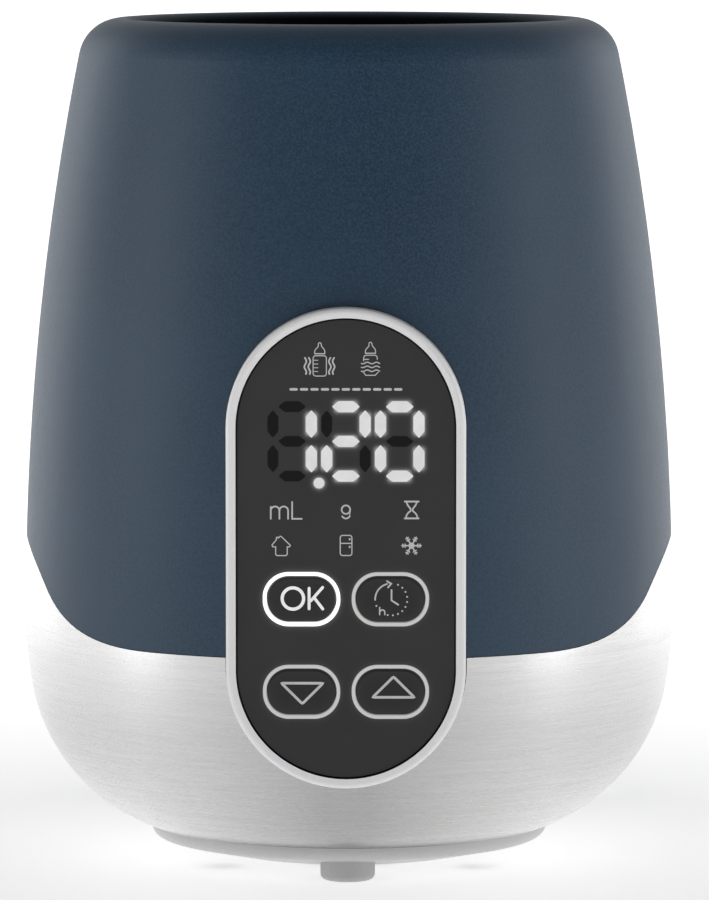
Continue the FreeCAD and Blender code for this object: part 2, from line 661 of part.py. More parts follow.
def make_heating_element():
    """A tubular element bent to an open ring under the plate."""
    ring = doc.addObject("Part::Torus", "element_ring")
    bind(ring, "Radius1", "heater_circle + 0")
    bind(ring, "Radius2", "heater_radius + 0")
    ring.Angle3 = HEATER_SWEEP
    ring.Placement = Placement(Vector(), Rotation(Vector(0, 0, 1), HEATER_START))
    bind(ring, "Placement.Base.z", HEATER_MIDDLE)
    return finish(ring, "heating_element")


def heater_ends():
    """The two ends of the ring, a little inside the tube, as angles round the axis."""
    return HEATER_START + 4, HEATER_START + HEATER_SWEEP - 4


def make_heater_terminals():
    pins = [cylinder(f"terminal_{i}", "terminal_radius", "terminal_length", *polar("heater_circle", a),
                     TERMINAL_LOW) for i, a in enumerate(heater_ends())]
    return finish(together("terminals", pins), "heater_terminals")


def make_thermostat():
    """A disc thermostat: a metal cap against the plate, a ceramic can under it and two tabs."""
    cap_low, can_low = f"{HEATER_TOP} - thermostat_cap", f"{HEATER_TOP} - thermostat_can"
    cap = cylinder("thermostat_cap", "thermostat_radius", "thermostat_cap", "thermostat_place", z=cap_low)
    can = cylinder("thermostat_can", "thermostat_radius - thermostat_step", "thermostat_can - 1",
                   "thermostat_place", z=can_low)
    tabs = []
    for i, side in enumerate((-1, 1)):
        corner = ("thermostat_place - tab_width/2", f"{side}*tab_pitch/2 - tab_sheet/2",
                  f"{can_low} - tab_length")
        tabs.append(block(f"thermostat_tab_{i}", corner, ("tab_width", "tab_sheet", "tab_length + 1")))
    return finish(fused("thermostat_whole", [cap, can, *tabs]), "thermostat")


def make_thermal_fuse():
    """A one-shot fuse: a small can against the plate, with a wire out of each end."""
    height = f"{HEATER_TOP} - fuse_radius - trim_gap"
    can = cylinder("fuse_can", "fuse_radius", "fuse_length", "-fuse_place", "-fuse_length/2", height, "Y")
    wires = cylinder("fuse_wires", "fuse_wire", "fuse_length + 2*fuse_wire_length", "-fuse_place",
                     "-fuse_length/2 - fuse_wire_length", height, "Y")
    return finish(fused("fuse_whole", [can, wires]), "thermal_fuse")


PROBE_LOW = f"({HEATER_TOP} - probe_height - 0.1)"
BRACKET_TOP = "(carrier_low - hair)"


def make_temperature_probe():
    capsule = cylinder("probe_capsule", "probe_radius", "probe_height", z=PROBE_LOW)
    flange = cylinder("probe_collar", "probe_flange", "probe_flange_sheet", z=PROBE_LOW)
    return finish(fused("probe_whole", [capsule, flange]), "temperature_probe")


def make_probe_spring():
    """An open coil that holds the probe up against the plate."""
    wire, radius, turns = value("spring_wire"), value("spring_radius"), 5
    low = value(BRACKET_TOP) + wire + value("hair")
    rise = value(PROBE_LOW) - wire - value("hair") - low
    helix = Part.makeHelix(rise / turns, rise, radius)
    start = Part.Circle(Vector(radius, 0, 0), Vector(0, 1, 0), wire)
    made = doc.addObject("Part::Feature", "spring_coil")
    made.Shape = Part.Wire(helix).makePipeShell([Part.Wire(start.toShape())], True, True)
    made.Placement = Placement(Vector(0, 0, low), Rotation())
    return finish(made, "probe_spring")


def make_probe_bracket():
    """A strip across the carrier with a peg that the spring stands round."""
    low = f"{BRACKET_TOP} - bracket_sheet"
    strip = block("bracket_strip", ("-carrier_bore - 1", "-bracket_half_width", low),
                  ("2*carrier_bore + 2", "2*bracket_half_width", "bracket_sheet"))
    guide = cylinder("bracket_peg", "bracket_guide", "guide_height + 0.2", z=f"{BRACKET_TOP} - 0.2")
    return finish(fused("bracket_whole", [strip, guide]), "probe_bracket")


def make_heater_carrier():
    """The ring that clamps the plate up to the liner, with a short skirt and three lugs for the posts."""
    top = "(well_low - gasket_sheet - plate_sheet - hair)"
    under = f"({top} - carrier_sheet)"
    body = turned("carrier_turned", [[
        ("carrier_bore", "carrier_low"),
        ("carrier_bore + carrier_wall", "carrier_low"),
        ("carrier_bore + carrier_wall", under),
        ("carrier_radius", under),
        ("carrier_radius", top),
        ("carrier_bore", top),
    ]])
    lug = raise_from(body, "XY", "carrier_low + hair", "lug_sheet",
                     [box_loop("0", "post_circle", "lug_half_width", "lug_half_depth")])
    repeat_round(body, lug, 3)
    pilots = [(*polar("post_circle", a), "screw_pilot") for a in THIRDS]
    raise_from(body, "XY", "0", "carrier_low + lug_sheet + 1", circles=pilots, back=True, kind="Pocket")
    passes = [(*polar("liner_screw_circle", a), "screw_pass") for a in FOOT_THIRDS]
    raise_from(body, "XY", "0", "well_low", circles=passes, back=True, kind="Pocket")
    return finish(body, "heater_carrier")


def make_liner_screws():
    under = "well_low - gasket_sheet - plate_sheet - 2*hair - carrier_sheet"
    screws = [screw(f"liner_screw_{a}", *polar("liner_screw_circle", a), under, "liner_screw_length", "up")
              for a in FOOT_THIRDS]
    return finish(together("liner_screws_all", screws), "liner_screws")


# ---------------------------------------------------------------- basket

def make_basket():
    """A slotted sleeve that stands in the well. A bottle stands on its ledge and is steadied by the plain
    band at its top, and two arched grips rise from it to just under the body's lip."""
    band, thin = "(basket_radius - basket_wall)", "(basket_radius - basket_thin)"
    body = turned("basket_turned", [[
        ("ledge_bore", "basket_floor"),
        (thin, "basket_floor"),
        (thin, "basket_low"),
        ("basket_radius", "basket_low"),
        ("basket_radius", "basket_high"),
        (band, "basket_high"),
        (band, "band_low"),
        (thin, "band_low"),
        (thin, "basket_floor + basket_sheet"),
        ("ledge_bore", "basket_floor + basket_sheet"),
    ]])
    slot = raise_from(body, "XZ", "basket_radius - 6", "12",
                      [upright_oblong("0", "slot_middle", "slot_half_width", "slot_half_height")],
                      back=True, kind="Pocket")
    repeat_round(body, slot, 12)
    root = "basket_high - 1"
    ring = turned("grip_ring", [[
        (thin, root), ("basket_radius", root), ("basket_radius", "grip_high"), (thin, "grip_high"),
    ]])
    arch, corner = new_body("grip_arch"), "grip_corner - grip_bar"
    middle, half = "(grip_high + grip_low)/2", "(grip_high - grip_low)/2"
    raise_from(arch, "YZ", "-body_radius", "2*body_radius", [
        rounded_loop("0", middle, "grip_half_width", half, "grip_corner"),
        rounded_loop("0", middle, "grip_half_width - grip_bar", f"{half} - grip_bar", corner),
    ])
    grips = boolean("Common", "basket_grips", ring, arch)
    return finish(fused("basket_whole", [body, grips]), "lift_basket")


# ---------------------------------------------------------------- control pod

KEYS = {
    "ok": ("-key_pitch", "key_row_high"), "timer": ("key_pitch", "key_row_high"),
    "down": ("-key_pitch", "key_row_low"), "up": ("key_pitch", "key_row_low"),
}
POD_BOSSES = (("0", "106.8"), ("0", "(key_row_high + key_row_low)/2"), ("0", "31.2"))
BOARD_FRONT = "(board_face + hair)"


def key_loop(x, z, grow, corner):
    """One key's outline, grown from the outside of its light ring."""
    return rounded_loop(x, z, f"(ring_half_width + {grow})", f"(ring_half_height + {grow})", corner)


def key_loops(grow, corner):
    return [key_loop(x, z, grow, corner) for x, z in KEYS.values()]


def pod_oblong(inset):
    return upright_oblong("0", "pod_height", f"pod_half_width - ({inset})", f"pod_half_height - ({inset})")


def make_panel_bezel():
    """An oblong tube let into the body's front: a ledge inside it holds the panel, and four ears at its
    back are screwed to the shell's bosses."""
    body = front_slab("bezel_tube", "pod_face", "pod_back", [pod_oblong("0"), pod_oblong("pod_rim")])
    ledge = [pod_oblong("pod_rim - 0.4"), pod_oblong("pod_rim + pod_ledge")]
    front_slab("", "frame_back - hair", "frame_back - 1.5", ledge, body=body)
    ears = [box_loop(f"{side}*(pod_screw_place - 1)", height, "ear_half_width", "ear_half_height")
            for side in (-1, 1) for height in ("pod_screw_low", "pod_screw_high")]
    front_slab("", "pod_screw_face - hair", "pod_screw_face - ear_sheet", ears, body=body)
    holes = [(x, z, "screw_pass") for x, z in POD_SCREW_PLACES]
    raise_from(body, "XZ", "pod_screw_face + 0.5", "ear_sheet + 1", circles=holes, kind="Pocket")

    def outer_front(edge):
        box = edge.BoundBox
        return lies_at("y", "-pod_face")(edge) and max(box.XMax, -box.XMin) > value("pod_half_width - 0.1")
    round_edges(body, "pod_round", outer_front)
    return finish(body, "panel_bezel")


def make_bezel_screws():
    face = "-pod_screw_face + ear_sheet + hair"
    length = "ear_sheet + ear_screw_bite"
    screws = [screw(f"bezel_screw_{i}", x, face, z, length, "front", "wide_head", "thin_head")
              for i, (x, z) in enumerate(POD_SCREW_PLACES)]
    return finish(together("bezel_screws_all", screws), "bezel_screws")


def make_panel_lens():
    outlines = [pod_oblong("pod_rim + lens_gap"), *key_loops("0.05", "ring_corner")]
    return finish(front_slab("lens_plate", "lens_face", "lens_back", outlines), "panel_lens")


def make_panel_frame():
    """The plate behind the lens: it holds the light rings in line and carries the board on three posts."""
    outline = pod_oblong("pod_rim + trim_gap")
    window = box_loop("0", "digit_height", "module_half_width + 0.3", "module_half_height + 0.3")
    body = front_slab("frame_plate", "lens_back - hair", "frame_back",
                      [outline, window, *key_loops("0.1", "ring_corner")])
    posts = [(x, z, "pod_boss") for x, z in POD_BOSSES]
    front_slab("", "frame_back + 0.4", BOARD_FRONT, circles=posts, body=body)
    pilots = [(x, z, "screw_pilot") for x, z in POD_BOSSES]
    raise_from(body, "XZ", "board_face", "5", circles=pilots, back=True, kind="Pocket")
    return finish(body, "panel_frame")


def make_key_light_rings():
    """Four ring-shaped light pipes round the keys, each with a flange behind the frame."""
    back, bore = "frame_back - ring_flange", key_loops("-ring_width", "ring_corner - ring_width")
    body = front_slab("light_pipes", "ring_face", back, [*key_loops("0", "ring_corner"), *bore])
    flange = [*key_loops("ring_lip", "ring_corner + ring_lip"), *bore]
    front_slab("", "frame_back - hair", back, flange, body=body)
    return finish(body, "key_light_rings")


KEY_FLANGE_FACE = "(frame_back - ring_flange - key_gap)"
KEY_FLANGE_BACK = f"({KEY_FLANGE_FACE} - key_flange)"


def make_key_cap(name, x, z):
    """A key: a soft-edged cap in its light ring, and a flange behind that keeps it in."""
    inset = "(ring_width + key_gap)"
    cap = key_loop(x, z, f"-{inset}", f"ring_corner - {inset}")
    body = front_slab(f"key_{name}_cap", "key_face", f"{KEY_FLANGE_FACE} - 0.2", [cap])
    front_slab("", KEY_FLANGE_FACE, KEY_FLANGE_BACK, [key_loop(x, z, "0", "ring_corner")], body=body)
    round_edges(body, "key_round", lies_at("y", "-key_face"))
    return finish(body, f"key_{name}")


def make_key_plunger(name, x, z):
    """The switch's plunger under a key. It moves with the key."""
    start = f"-({KEY_FLANGE_BACK}) + hair"
    made = cylinder(f"plunger_{name}", "plunger_radius", "plunger_length", x, start, z, "Y")
    return finish(made, f"key_plunger_{name}")


def make_switch_bodies():
    half, places = "switch_side/2", KEYS.values()
    cases = [box_loop(x, z, half, half) for x, z in places]
    wells = [(x, z, "plunger_radius + 0.15") for x, z in places]
    body = front_slab("switch_blocks", "switch_face", BOARD_FRONT, cases)
    raise_from(body, "XZ", "switch_face", "switch_well", circles=wells, kind="Pocket")
    return finish(body, "switch_bodies")


def make_control_board():
    body = front_slab("control_plate", "board_face", "board_back", [pod_oblong("pod_rim + 0.6")])
    holes = [(x, z, "screw_pass") for x, z in POD_BOSSES]
    raise_from(body, "XZ", "board_face", "board_sheet + 1", circles=holes, kind="Pocket")
    return finish(body, "control_board")


def make_control_board_screws():
    screws = [screw(f"control_screw_{i}", x, "-board_back + hair", z, "board_screw_length", "front",
                    "middle_head", "thin_head") for i, (x, z) in enumerate(POD_BOSSES)]
    return finish(together("control_screws_all", screws), "control_board_screws")


def make_display_module():
    outline = box_loop("0", "digit_height", "module_half_width", "module_half_height")
    return finish(front_slab("display_block", "module_face", BOARD_FRONT, [outline]), "display_module")


def segment_loop(x, z, lying):
    """One pointed bar of a digit."""
    end, half, neck = "segment_reach", "segment_half", "(segment_reach - segment_taper)"
    outline = [(end, "0"), (neck, half), (f"-{neck}", half), (f"-{end}", "0"),
               (f"-{neck}", f"-{half}"), (neck, f"-{half}")]
    if not lying:
        outline = [(f"-1*({b})", a) for a, b in outline]
    return [(f"{x} + ({a})", f"{z} + ({b})") for a, b in outline]


def make_digit_segments():
    """Three seven-bar digits and a point, as clear bars on the face of the display."""
    face, back = "lens_back - 0.05", "module_face + hair"
    bars = [segment_loop("-digit_pitch", f"digit_height + {row}*digit_half_height", True)
            for row in (-1, 0, 1)]
    bars += [segment_loop(f"-digit_pitch + {side}*digit_half_width",
                          f"digit_height + {half}*digit_half_height/2", False)
             for side in (-1, 1) for half in (-1, 1)]
    body = new_body("digit_bars")
    digit = raise_from(body, "XZ", face, f"({face}) - ({back})", bars, back=True)
    pattern = body.newObject("PartDesign::LinearPattern", "digits_along")
    pattern.Originals = [digit]
    pattern.Direction = (origin_part(body, "X_Axis"), [""])
    bind(pattern, "Length", "2*digit_pitch")
    pattern.Occurrences = 3
    body.Tip = pattern
    point = ("-digit_pitch/2", "digit_height - digit_half_height - point_drop", "point_radius")
    front_slab("", face, back, circles=[point], body=body)
    return finish(body, "digit_segments")


LAMP_PLACES = [(side, "105.7") for side in ("-5", "5")]
LAMP_PLACES += [(place, row) for row in ("77", "70.1") for place in ("-12.4", "0", "12.5")]
LAMP_PLACES += [("0", "35.5")]


def make_indicator_leds():
    """A lamp behind each symbol on the panel, and one low down for the standby light."""
    lamps = [box_loop(x, z, "1", "0.6") for x, z in LAMP_PLACES]
    return finish(front_slab("lamp_blocks", "board_face + 0.8", BOARD_FRONT, lamps), "indicator_leds")


# ---------------------------------------------------------------- power board and wiring

ON_POWER = "(power_low + board_sheet + hair)"
# box-shaped components: lowest corner in plan, then length, width and height
POWER_CASES = {
    "relay": (("-19", "-9"), ("15", "16", "14")),
    "transformer": (("-1", "-8"), ("14", "15", "12.5")),
    "terminal_block": (("-4", "12"), ("13", "8", "9")),
}
CAN_PLACES = (("13", "-13.2"), ("14.6", "13"))
TUBE_END = ("-3", "9.4", f"{ON_POWER} + tube_radius + 0.1")


def make_power_board():
    circles = [("0", "0", "power_radius")]
    circles += [(*polar("power_screw_circle", a + 30), "screw_pass") for a in THIRDS]
    disc = slab("power_disc", "power_low + hair", "board_sheet - hair", circles=circles)
    return finish(disc, "power_board")


def make_power_board_screws():
    screws = [screw(f"power_screw_{a}", *polar("power_screw_circle", a + 30), ON_POWER,
                    "power_screw_length", "down", "small_head", "thin_head") for a in THIRDS]
    return finish(together("power_screws_all", screws), "power_board_screws")


def make_power_components():
    for name, (corner, size) in POWER_CASES.items():
        finish(block(name + "_case", (*corner, ON_POWER), size), name)
    cans = [cylinder(f"capacitor_{i}", "can_radius", "can_height", x, y, ON_POWER)
            for i, (x, y) in enumerate(CAN_PLACES)]
    finish(together("capacitor_cans", cans), "capacitors")
    finish(cylinder("mains_fuse_tube", "tube_radius", "tube_length", *TUBE_END, "X"), "mains_fuse")


RIBBON_WIRES, RIBBON_PITCH, RIBBON_RADIUS = 6, 1.2, 0.5
SOCKET_LOW_SIZE, SOCKET_HIGH_SIZE = (10.0, 4.5, 6.0), (12.0, 3.4, 4.5)
SOCKET_LOW_FRONT, SOCKET_HIGH = -20.0, 56.0
RIBBON_ENTRY = 2.4  # how far behind the control board the wires meet their upper socket


def make_ribbon():
    """A flat cable of six wires between the two boards, and the socket at each end."""
    places = [(-SOCKET_LOW_SIZE[0] / 2, SOCKET_LOW_FRONT, ON_POWER),
              (-SOCKET_HIGH_SIZE[0] / 2, "-board_back + hair", SOCKET_HIGH)]
    sockets = [block(f"ribbon_socket_{i}", place, size)
               for i, (place, size) in enumerate(zip(places, (SOCKET_LOW_SIZE, SOCKET_HIGH_SIZE)))]
    finish(together("ribbon_sockets_all", sockets), "ribbon_sockets")
    low, high = value(ON_POWER) + SOCKET_LOW_SIZE[2] + value("hair"), SOCKET_HIGH - value("hair")
    low_y = SOCKET_LOW_FRONT + SOCKET_LOW_SIZE[1] / 2
    high_y = -value("board_back") + RIBBON_ENTRY
    wires = []
    for i in range(RIBBON_WIRES):
        x = (i - (RIBBON_WIRES - 1) / 2) * RIBBON_PITCH
        path = [(x, low_y, low), (x, low_y, low + 2), (x, -30, low + 8), (x, -44, low + 10),
                (x, high_y + 0.4, high - 16), (x, high_y, high - 5), (x, high_y, high)]
        wires.append(cable(f"ribbon_wire_{i}", path, RIBBON_RADIUS))
    finish(together("ribbon_wires", wires), "ribbon_cable")


MAINS_RADIUS, HEATER_LEAD_RADIUS, PROBE_LEAD_RADIUS = 0.9, 0.8, 0.6
CORE_OFFSET = 1.3  # how far each mains core is from the cord's axis


def make_leads():
    """Mains leads round the rear post to the terminals, heater leads, and the probe's two leads."""
    terminals = value(ON_POWER) + float(POWER_CASES["terminal_block"][1][2]) + value("hair")
    terminal_y, drop = 16, 3
    mains, heater, probe = [], [], []
    for side in (-1, 1):
        start, height = value("cord_inner") - value("hair"), value("cord_height")
        aside = CORE_OFFSET * side
        path = [(aside, start, height), (aside, start - 1.5, height), (-5.6 + aside, 34, height + 1.5),
                (-7.4 + aside, 28, height + 5), (-4 + aside, 20, terminals + 6),
                (-0.6 + aside, terminal_y, terminals + drop), (-0.6 + aside, terminal_y, terminals)]
        mains.append(cable(f"mains_lead_{len(mains)}", path, MAINS_RADIUS))
    for i, angle in enumerate(heater_ends()):
        reach, top = value("heater_circle"), value(TERMINAL_LOW) - value("hair")
        x, y = reach * math.cos(math.radians(angle)), reach * math.sin(math.radians(angle))
        end = (4.2 + 2.6 * i, terminal_y, terminals)
        path = [(x, y, top), (x, y, top - 1.5), ((x + 3 * end[0]) / 4, (y + terminal_y) / 2 + 1, top - 5),
                (end[0], terminal_y, terminals + drop), end]
        heater.append(cable(f"heater_lead_{i}", path, HEATER_LEAD_RADIUS))
    for side in (-1, 1):
        top = value(BRACKET_TOP) - value("bracket_sheet") - value("hair")
        foot = value(ON_POWER) + value("hair")
        path = [(1.5 * side, -2.6, top), (1.5 * side, -2.6, top - 1.5), (1.8 * side, -9.6, top - 4.4),
                (1.5 * side, -12.6, foot + 8), (1.5 * side, -12.6, foot)]
        probe.append(cable(f"probe_lead_{len(probe)}", path, PROBE_LEAD_RADIUS))
    finish(together("mains_leads_all", mains), "mains_leads")
    finish(together("heater_leads_all", heater), "heater_leads")
    finish(together("probe_leads_all", probe), "probe_leads")


# ---------------------------------------------------------------- mains cord

# the boot, at distances behind the body's axis: a collar inside the shell, a neck, a flange and five ribs
COLLAR_START, COLLAR_END, FLANGE_START, FLANGE_END = 44.0, 46.4, 62.1, 64.5
COLLAR_RADIUS, FLANGE_RADIUS, BOOT_TIP_RADIUS = 6.3, 5.3, 3.9
BOOT_RIBS, RIB_PITCH, RIB_LENGTH = 5, 3.8, 2.1
GROOVE_RADIUS, GROOVE_TAPER = 4.3, 0.14  # of the first groove, and how much smaller each next one is
RIB_RADIUS, RIB_TAPER = 5.1, 0.24


def make_strain_relief():
    """A moulded boot on the cord: a collar inside the shell, a neck through it and a ribbed taper outside."""
    bore, neck = "cord_radius + 2*hair", "cord_hole - trim_gap/2"
    outline = [(COLLAR_START, bore), (COLLAR_START, COLLAR_RADIUS), (COLLAR_END, COLLAR_RADIUS)]
    outline += [(COLLAR_END, neck), (FLANGE_START, neck), (FLANGE_START, FLANGE_RADIUS)]
    outline += [(FLANGE_END, FLANGE_RADIUS)]
    for i in range(BOOT_RIBS):
        groove, rib = GROOVE_RADIUS - GROOVE_TAPER * i, RIB_RADIUS - RIB_TAPER * i
        start, end = FLANGE_END + RIB_PITCH * i, FLANGE_END + RIB_PITCH * (i + 1)
        outline += [(start, groove), (end - RIB_LENGTH, groove), (end - RIB_LENGTH, rib), (end, rib)]
    outline += [("boot_end", BOOT_TIP_RADIUS), ("boot_end", bore)]
    body = new_body("boot_turned")
    sketch = new_sketch(body, "YZ")
    add_loop(sketch, [(str(along), f"cord_height + {radius}") for along, radius in outline])
    ends = [Vector(0, value("cord_height"), 0), Vector(10, value("cord_height"), 0)]
    axis = sketch.addGeometry(Part.LineSegment(*ends), True)
    sketch.addConstraint([
        Sketcher.Constraint("Horizontal", axis),
        Sketcher.Constraint("DistanceX", -1, 1, axis, 1, ends[0].x),
        Sketcher.Constraint("DistanceX", -1, 1, axis, 2, ends[1].x),
    ])
    height = sketch.addConstraint(Sketcher.Constraint("DistanceY", -1, 1, axis, 1, ends[0].y))
    bind(sketch, f"Constraints[{height}]", "cord_height")
    made = feature(body, "Revolution", sketch)
    made.ReferenceAxis = (sketch, ["Axis0"])
    made.Angle = 360
    return finish(body, "strain_relief")


COIL_START, COIL_END, COIL_STEP = 25, -475, -25  # degrees: the flat coil winds inwards, clockwise from above


def coil_point(degrees):
    """A place on the flat coil behind the body."""
    inward = value("coil_pitch") * (COIL_START - degrees) / 360
    angle = math.radians(degrees)
    across, along = value("coil_long") - inward, value("coil_short") - inward
    return across * math.cos(angle), value("coil_centre") + along * math.sin(angle), value("table_cord")


def make_power_cord():
    """The cord leaves the boot, drops to the table, coils flat and curls into the plug in the middle."""
    exit_z, rest, middle = value("cord_height"), value("table_cord"), value("coil_centre")
    end = value("boot_end") + 1
    path = [(0, value("cord_inner"), exit_z), (0, end, exit_z), (2.5, end + 14, exit_z - 0.8),
            (10.5, end + 27, exit_z - 4), (24, end + 34.6, exit_z - 10.5), (37, end + 32.2, rest + 2)]
    path += [coil_point(degrees) for degrees in range(COIL_START, COIL_END - 1, COIL_STEP)]
    x, y, z = path[-1]
    rear, axis = value("plug_rear") - value("hair"), value("plug_axis")
    path += [(x - 10.5, y + 4.2, rest + 0.2), (x - 17.5, y + 11.5, rest + 0.8),
             (x - 14.5, y + 19.2, rest + 2), (rear - 6, middle, axis), (rear, middle, axis)]
    return finish(cable("cord_sweep", path, "cord_radius"), "power_cord")


def make_cord_tie():
    """A thin strap round the coil's two strands nearest the body."""
    strands = [coil_point(-90)[1], coil_point(-450)[1]]
    middle, half_gap = sum(strands) / 2, abs(strands[0] - strands[1]) / 2
    body, inner = new_body("tie_band"), "cord_radius + tie_gap"
    raise_from(body, "YZ", "-tie_width/2", "tie_width", [
        rounded_loop(str(middle), "table_cord", f"{half_gap} + {inner} + tie_sheet", f"({inner} + tie_sheet)",
                     f"{inner} + tie_sheet - 0.1"),
        rounded_loop(str(middle), "table_cord", f"{half_gap} + {inner}", f"({inner})", f"{inner} - 0.1"),
    ])
    return finish(body, "cord_tie")


def make_plug():
    """A flat two-pin plug lying on the table, its pins along +X."""
    full, neck, shoulder = "plug_half_width", "plug_neck", "plug_front - plug_shoulder"
    body = new_body("plug_moulding")
    raise_from(body, "XY", "plug_axis - plug_thickness/2", "plug_thickness", [[
        ("plug_front", f"coil_centre - {full}"),
        ("plug_front", f"coil_centre + {full}"),
        (shoulder, f"coil_centre + {full}"),
        ("plug_rear", f"coil_centre + {neck}"),
        ("plug_rear", f"coil_centre - {neck}"),
        (shoulder, f"coil_centre - {full}"),
    ]])
    round_edges(body, "plug_round", lambda edge: not lies_at("x", "plug_front")(edge))
    finish(body, "plug_body")
    pins = [cylinder(f"plug_pin_{i}", "pin_radius", "pin_length", "plug_front + hair",
                     f"coil_centre + {side}*pin_spread", "plug_axis", "X") for i, side in enumerate((-1, 1))]
    finish(together("pins", pins), "plug_pins")


# ---------------------------------------------------------------- build

def build():
    fill_sheet()
    make_outer_shell()
    make_steel_skirt()
    make_base_plate()
    make_rubber_feet()
    make_base_screws()
    make_well_liner()
    make_plate_gasket()
    make_heating_plate()
    make_heat_spreader()
    make_heating_element()
    make_heater_terminals()
    make_thermostat()
    make_thermal_fuse()
    make_temperature_probe()
    make_probe_spring()
    make_probe_bracket()
    make_heater_carrier()
    make_liner_screws()
    make_basket()
    make_panel_bezel()
    make_bezel_screws()
    make_panel_lens()
    make_panel_frame()
    make_key_light_rings()
    for name, (x, z) in KEYS.items():
        make_key_cap(name, x, z)
        make_key_plunger(name, x, z)
    make_switch_bodies()
    make_control_board()
    make_control_board_screws()
    make_display_module()
    make_digit_segments()
    make_indicator_leds()
    make_power_board()
    make_power_board_screws()
    make_power_components()
    make_ribbon()
    make_leads()
    make_strain_relief()
    make_power_cord()
    make_cord_tie()
    make_plug()
    doc.recompute()


def check():
    """Stops if any object failed, or if a sub-part is empty or not valid."""
    failed = [o.Label for o in doc.Objects if {"Invalid", "Error"} & set(o.State)]
    if failed:
        raise SystemExit(f"objects that failed: {failed}")
    bad = [o.Label for o in finished if o.Shape.isNull() or not o.Shape.isValid() or not o.Shape.Solids]
    if bad:
        raise SystemExit(f"sub-parts with no valid solid: {bad}")


def export():
    os.makedirs("parts", exist_ok=True)
    for part in finished:
        part.Shape.exportStep(f"parts/{part.Label}.step")
        print(part.Label, len(part.Shape.Solids), round(part.Shape.Volume, 1))


build()
check()
export()
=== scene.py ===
"""Looks for the bottle warmer: materials for the CAD nodes, the lit panel's graphics, and a studio."""

import math

import bmesh
import bpy
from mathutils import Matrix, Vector


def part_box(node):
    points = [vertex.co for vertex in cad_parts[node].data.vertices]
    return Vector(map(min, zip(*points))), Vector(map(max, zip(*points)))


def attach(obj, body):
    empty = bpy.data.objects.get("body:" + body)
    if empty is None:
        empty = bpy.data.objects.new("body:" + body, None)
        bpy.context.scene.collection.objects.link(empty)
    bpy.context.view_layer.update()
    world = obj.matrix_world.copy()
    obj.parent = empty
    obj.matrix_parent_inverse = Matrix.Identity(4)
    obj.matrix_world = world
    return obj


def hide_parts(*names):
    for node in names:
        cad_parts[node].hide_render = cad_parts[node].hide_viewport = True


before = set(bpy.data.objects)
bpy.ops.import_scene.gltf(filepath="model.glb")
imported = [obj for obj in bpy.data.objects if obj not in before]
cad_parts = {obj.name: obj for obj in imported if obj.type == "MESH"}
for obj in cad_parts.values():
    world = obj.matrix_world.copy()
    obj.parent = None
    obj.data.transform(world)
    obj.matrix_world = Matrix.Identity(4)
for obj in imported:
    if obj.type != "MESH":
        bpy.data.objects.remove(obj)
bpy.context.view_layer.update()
MM = 0.001
MOUTH = 43.2  # the radius just outside the wall within the body's opening, in millimetres; within it the shell gets painted shade


# ------------------------------------------------------------------ materials

def shade(code, alpha=1.0):
    """An sRGB colour code as the linear colour that Blender uses."""
    parts = [int(code[i:i + 2], 16) / 255 for i in (0, 2, 4)]
    linear = [c / 12.92 if c <= 0.04045 else ((c + 0.055) / 1.055) ** 2.4 for c in parts]
    return (*linear, alpha)


class Surface:
    """A material under construction. Each call adds a node and gives back its output."""

    def __init__(self, name, colour, roughness=0.5, metallic=0.0, **inputs):
        self.material = bpy.data.materials.new(name)
        self.material.use_nodes = True
        self.tree = self.material.node_tree
        self.places = {}
        self.shader = self.tree.nodes["Principled BSDF"]
        self.set("Base Color", shade(colour))
        self.set("Roughness", roughness)
        self.set("Metallic", metallic)
        for socket, value in inputs.items():
            self.set(socket.replace("_", " "), value)

    def put(self, socket, value):
        if isinstance(value, bpy.types.NodeSocket):
            self.tree.links.new(value, socket)
        else:
            socket.default_value = value

    def set(self, socket, value):
        self.put(self.shader.inputs[socket], value)

    def node(self, kind, values=(), out=0, **settings):
        made = self.tree.nodes.new("ShaderNode" + kind)
        for name, setting in settings.items():
            setattr(made, name, setting)
        pairs = values.items() if isinstance(values, dict) else enumerate(values)
        for socket, value in pairs:
            self.put(made.inputs[socket], value)
        return made.outputs[out]

    def maths(self, operation, *values):
        return self.node("Math", values, operation=operation)

    def vector(self, operation, *values, out=0):
        return self.node("VectorMath", values, operation=operation, out=out)

    def place(self, stretch=(1, 1, 1)):
        """The point being shaded, in metres in the row's frame, stretched along each axis."""
        if stretch not in self.places:
            here = self.node("TexCoord", out="Object")
            self.places[stretch] = self.vector("MULTIPLY", here, stretch)
        return self.places[stretch]

    def noise(self, size_mm, detail=2.0, stretch=(1, 1, 1)):
        """Noise whose blotches are about size_mm across, from 0 to 1 with a mean of a half."""
        return self.node("TexNoise", {"Vector": self.place(stretch), "Scale": 0.5 / (size_mm * MM),
                                      "Detail": detail, "Roughness": 0.6})

    def span(self, value, low, high, to_low=0.0, to_high=1.0):
        return self.node("MapRange", (value, low, high, to_low, to_high))

    def mix(self, share, first, second):
        return self.node("Mix", {0: share, 6: first, 7: second}, out=2, data_type="RGBA")

    def bump(self, height, depth_mm):
        self.set("Normal", self.node("Bump", {"Strength": 1.0, "Distance": depth_mm * MM, "Height": height}))


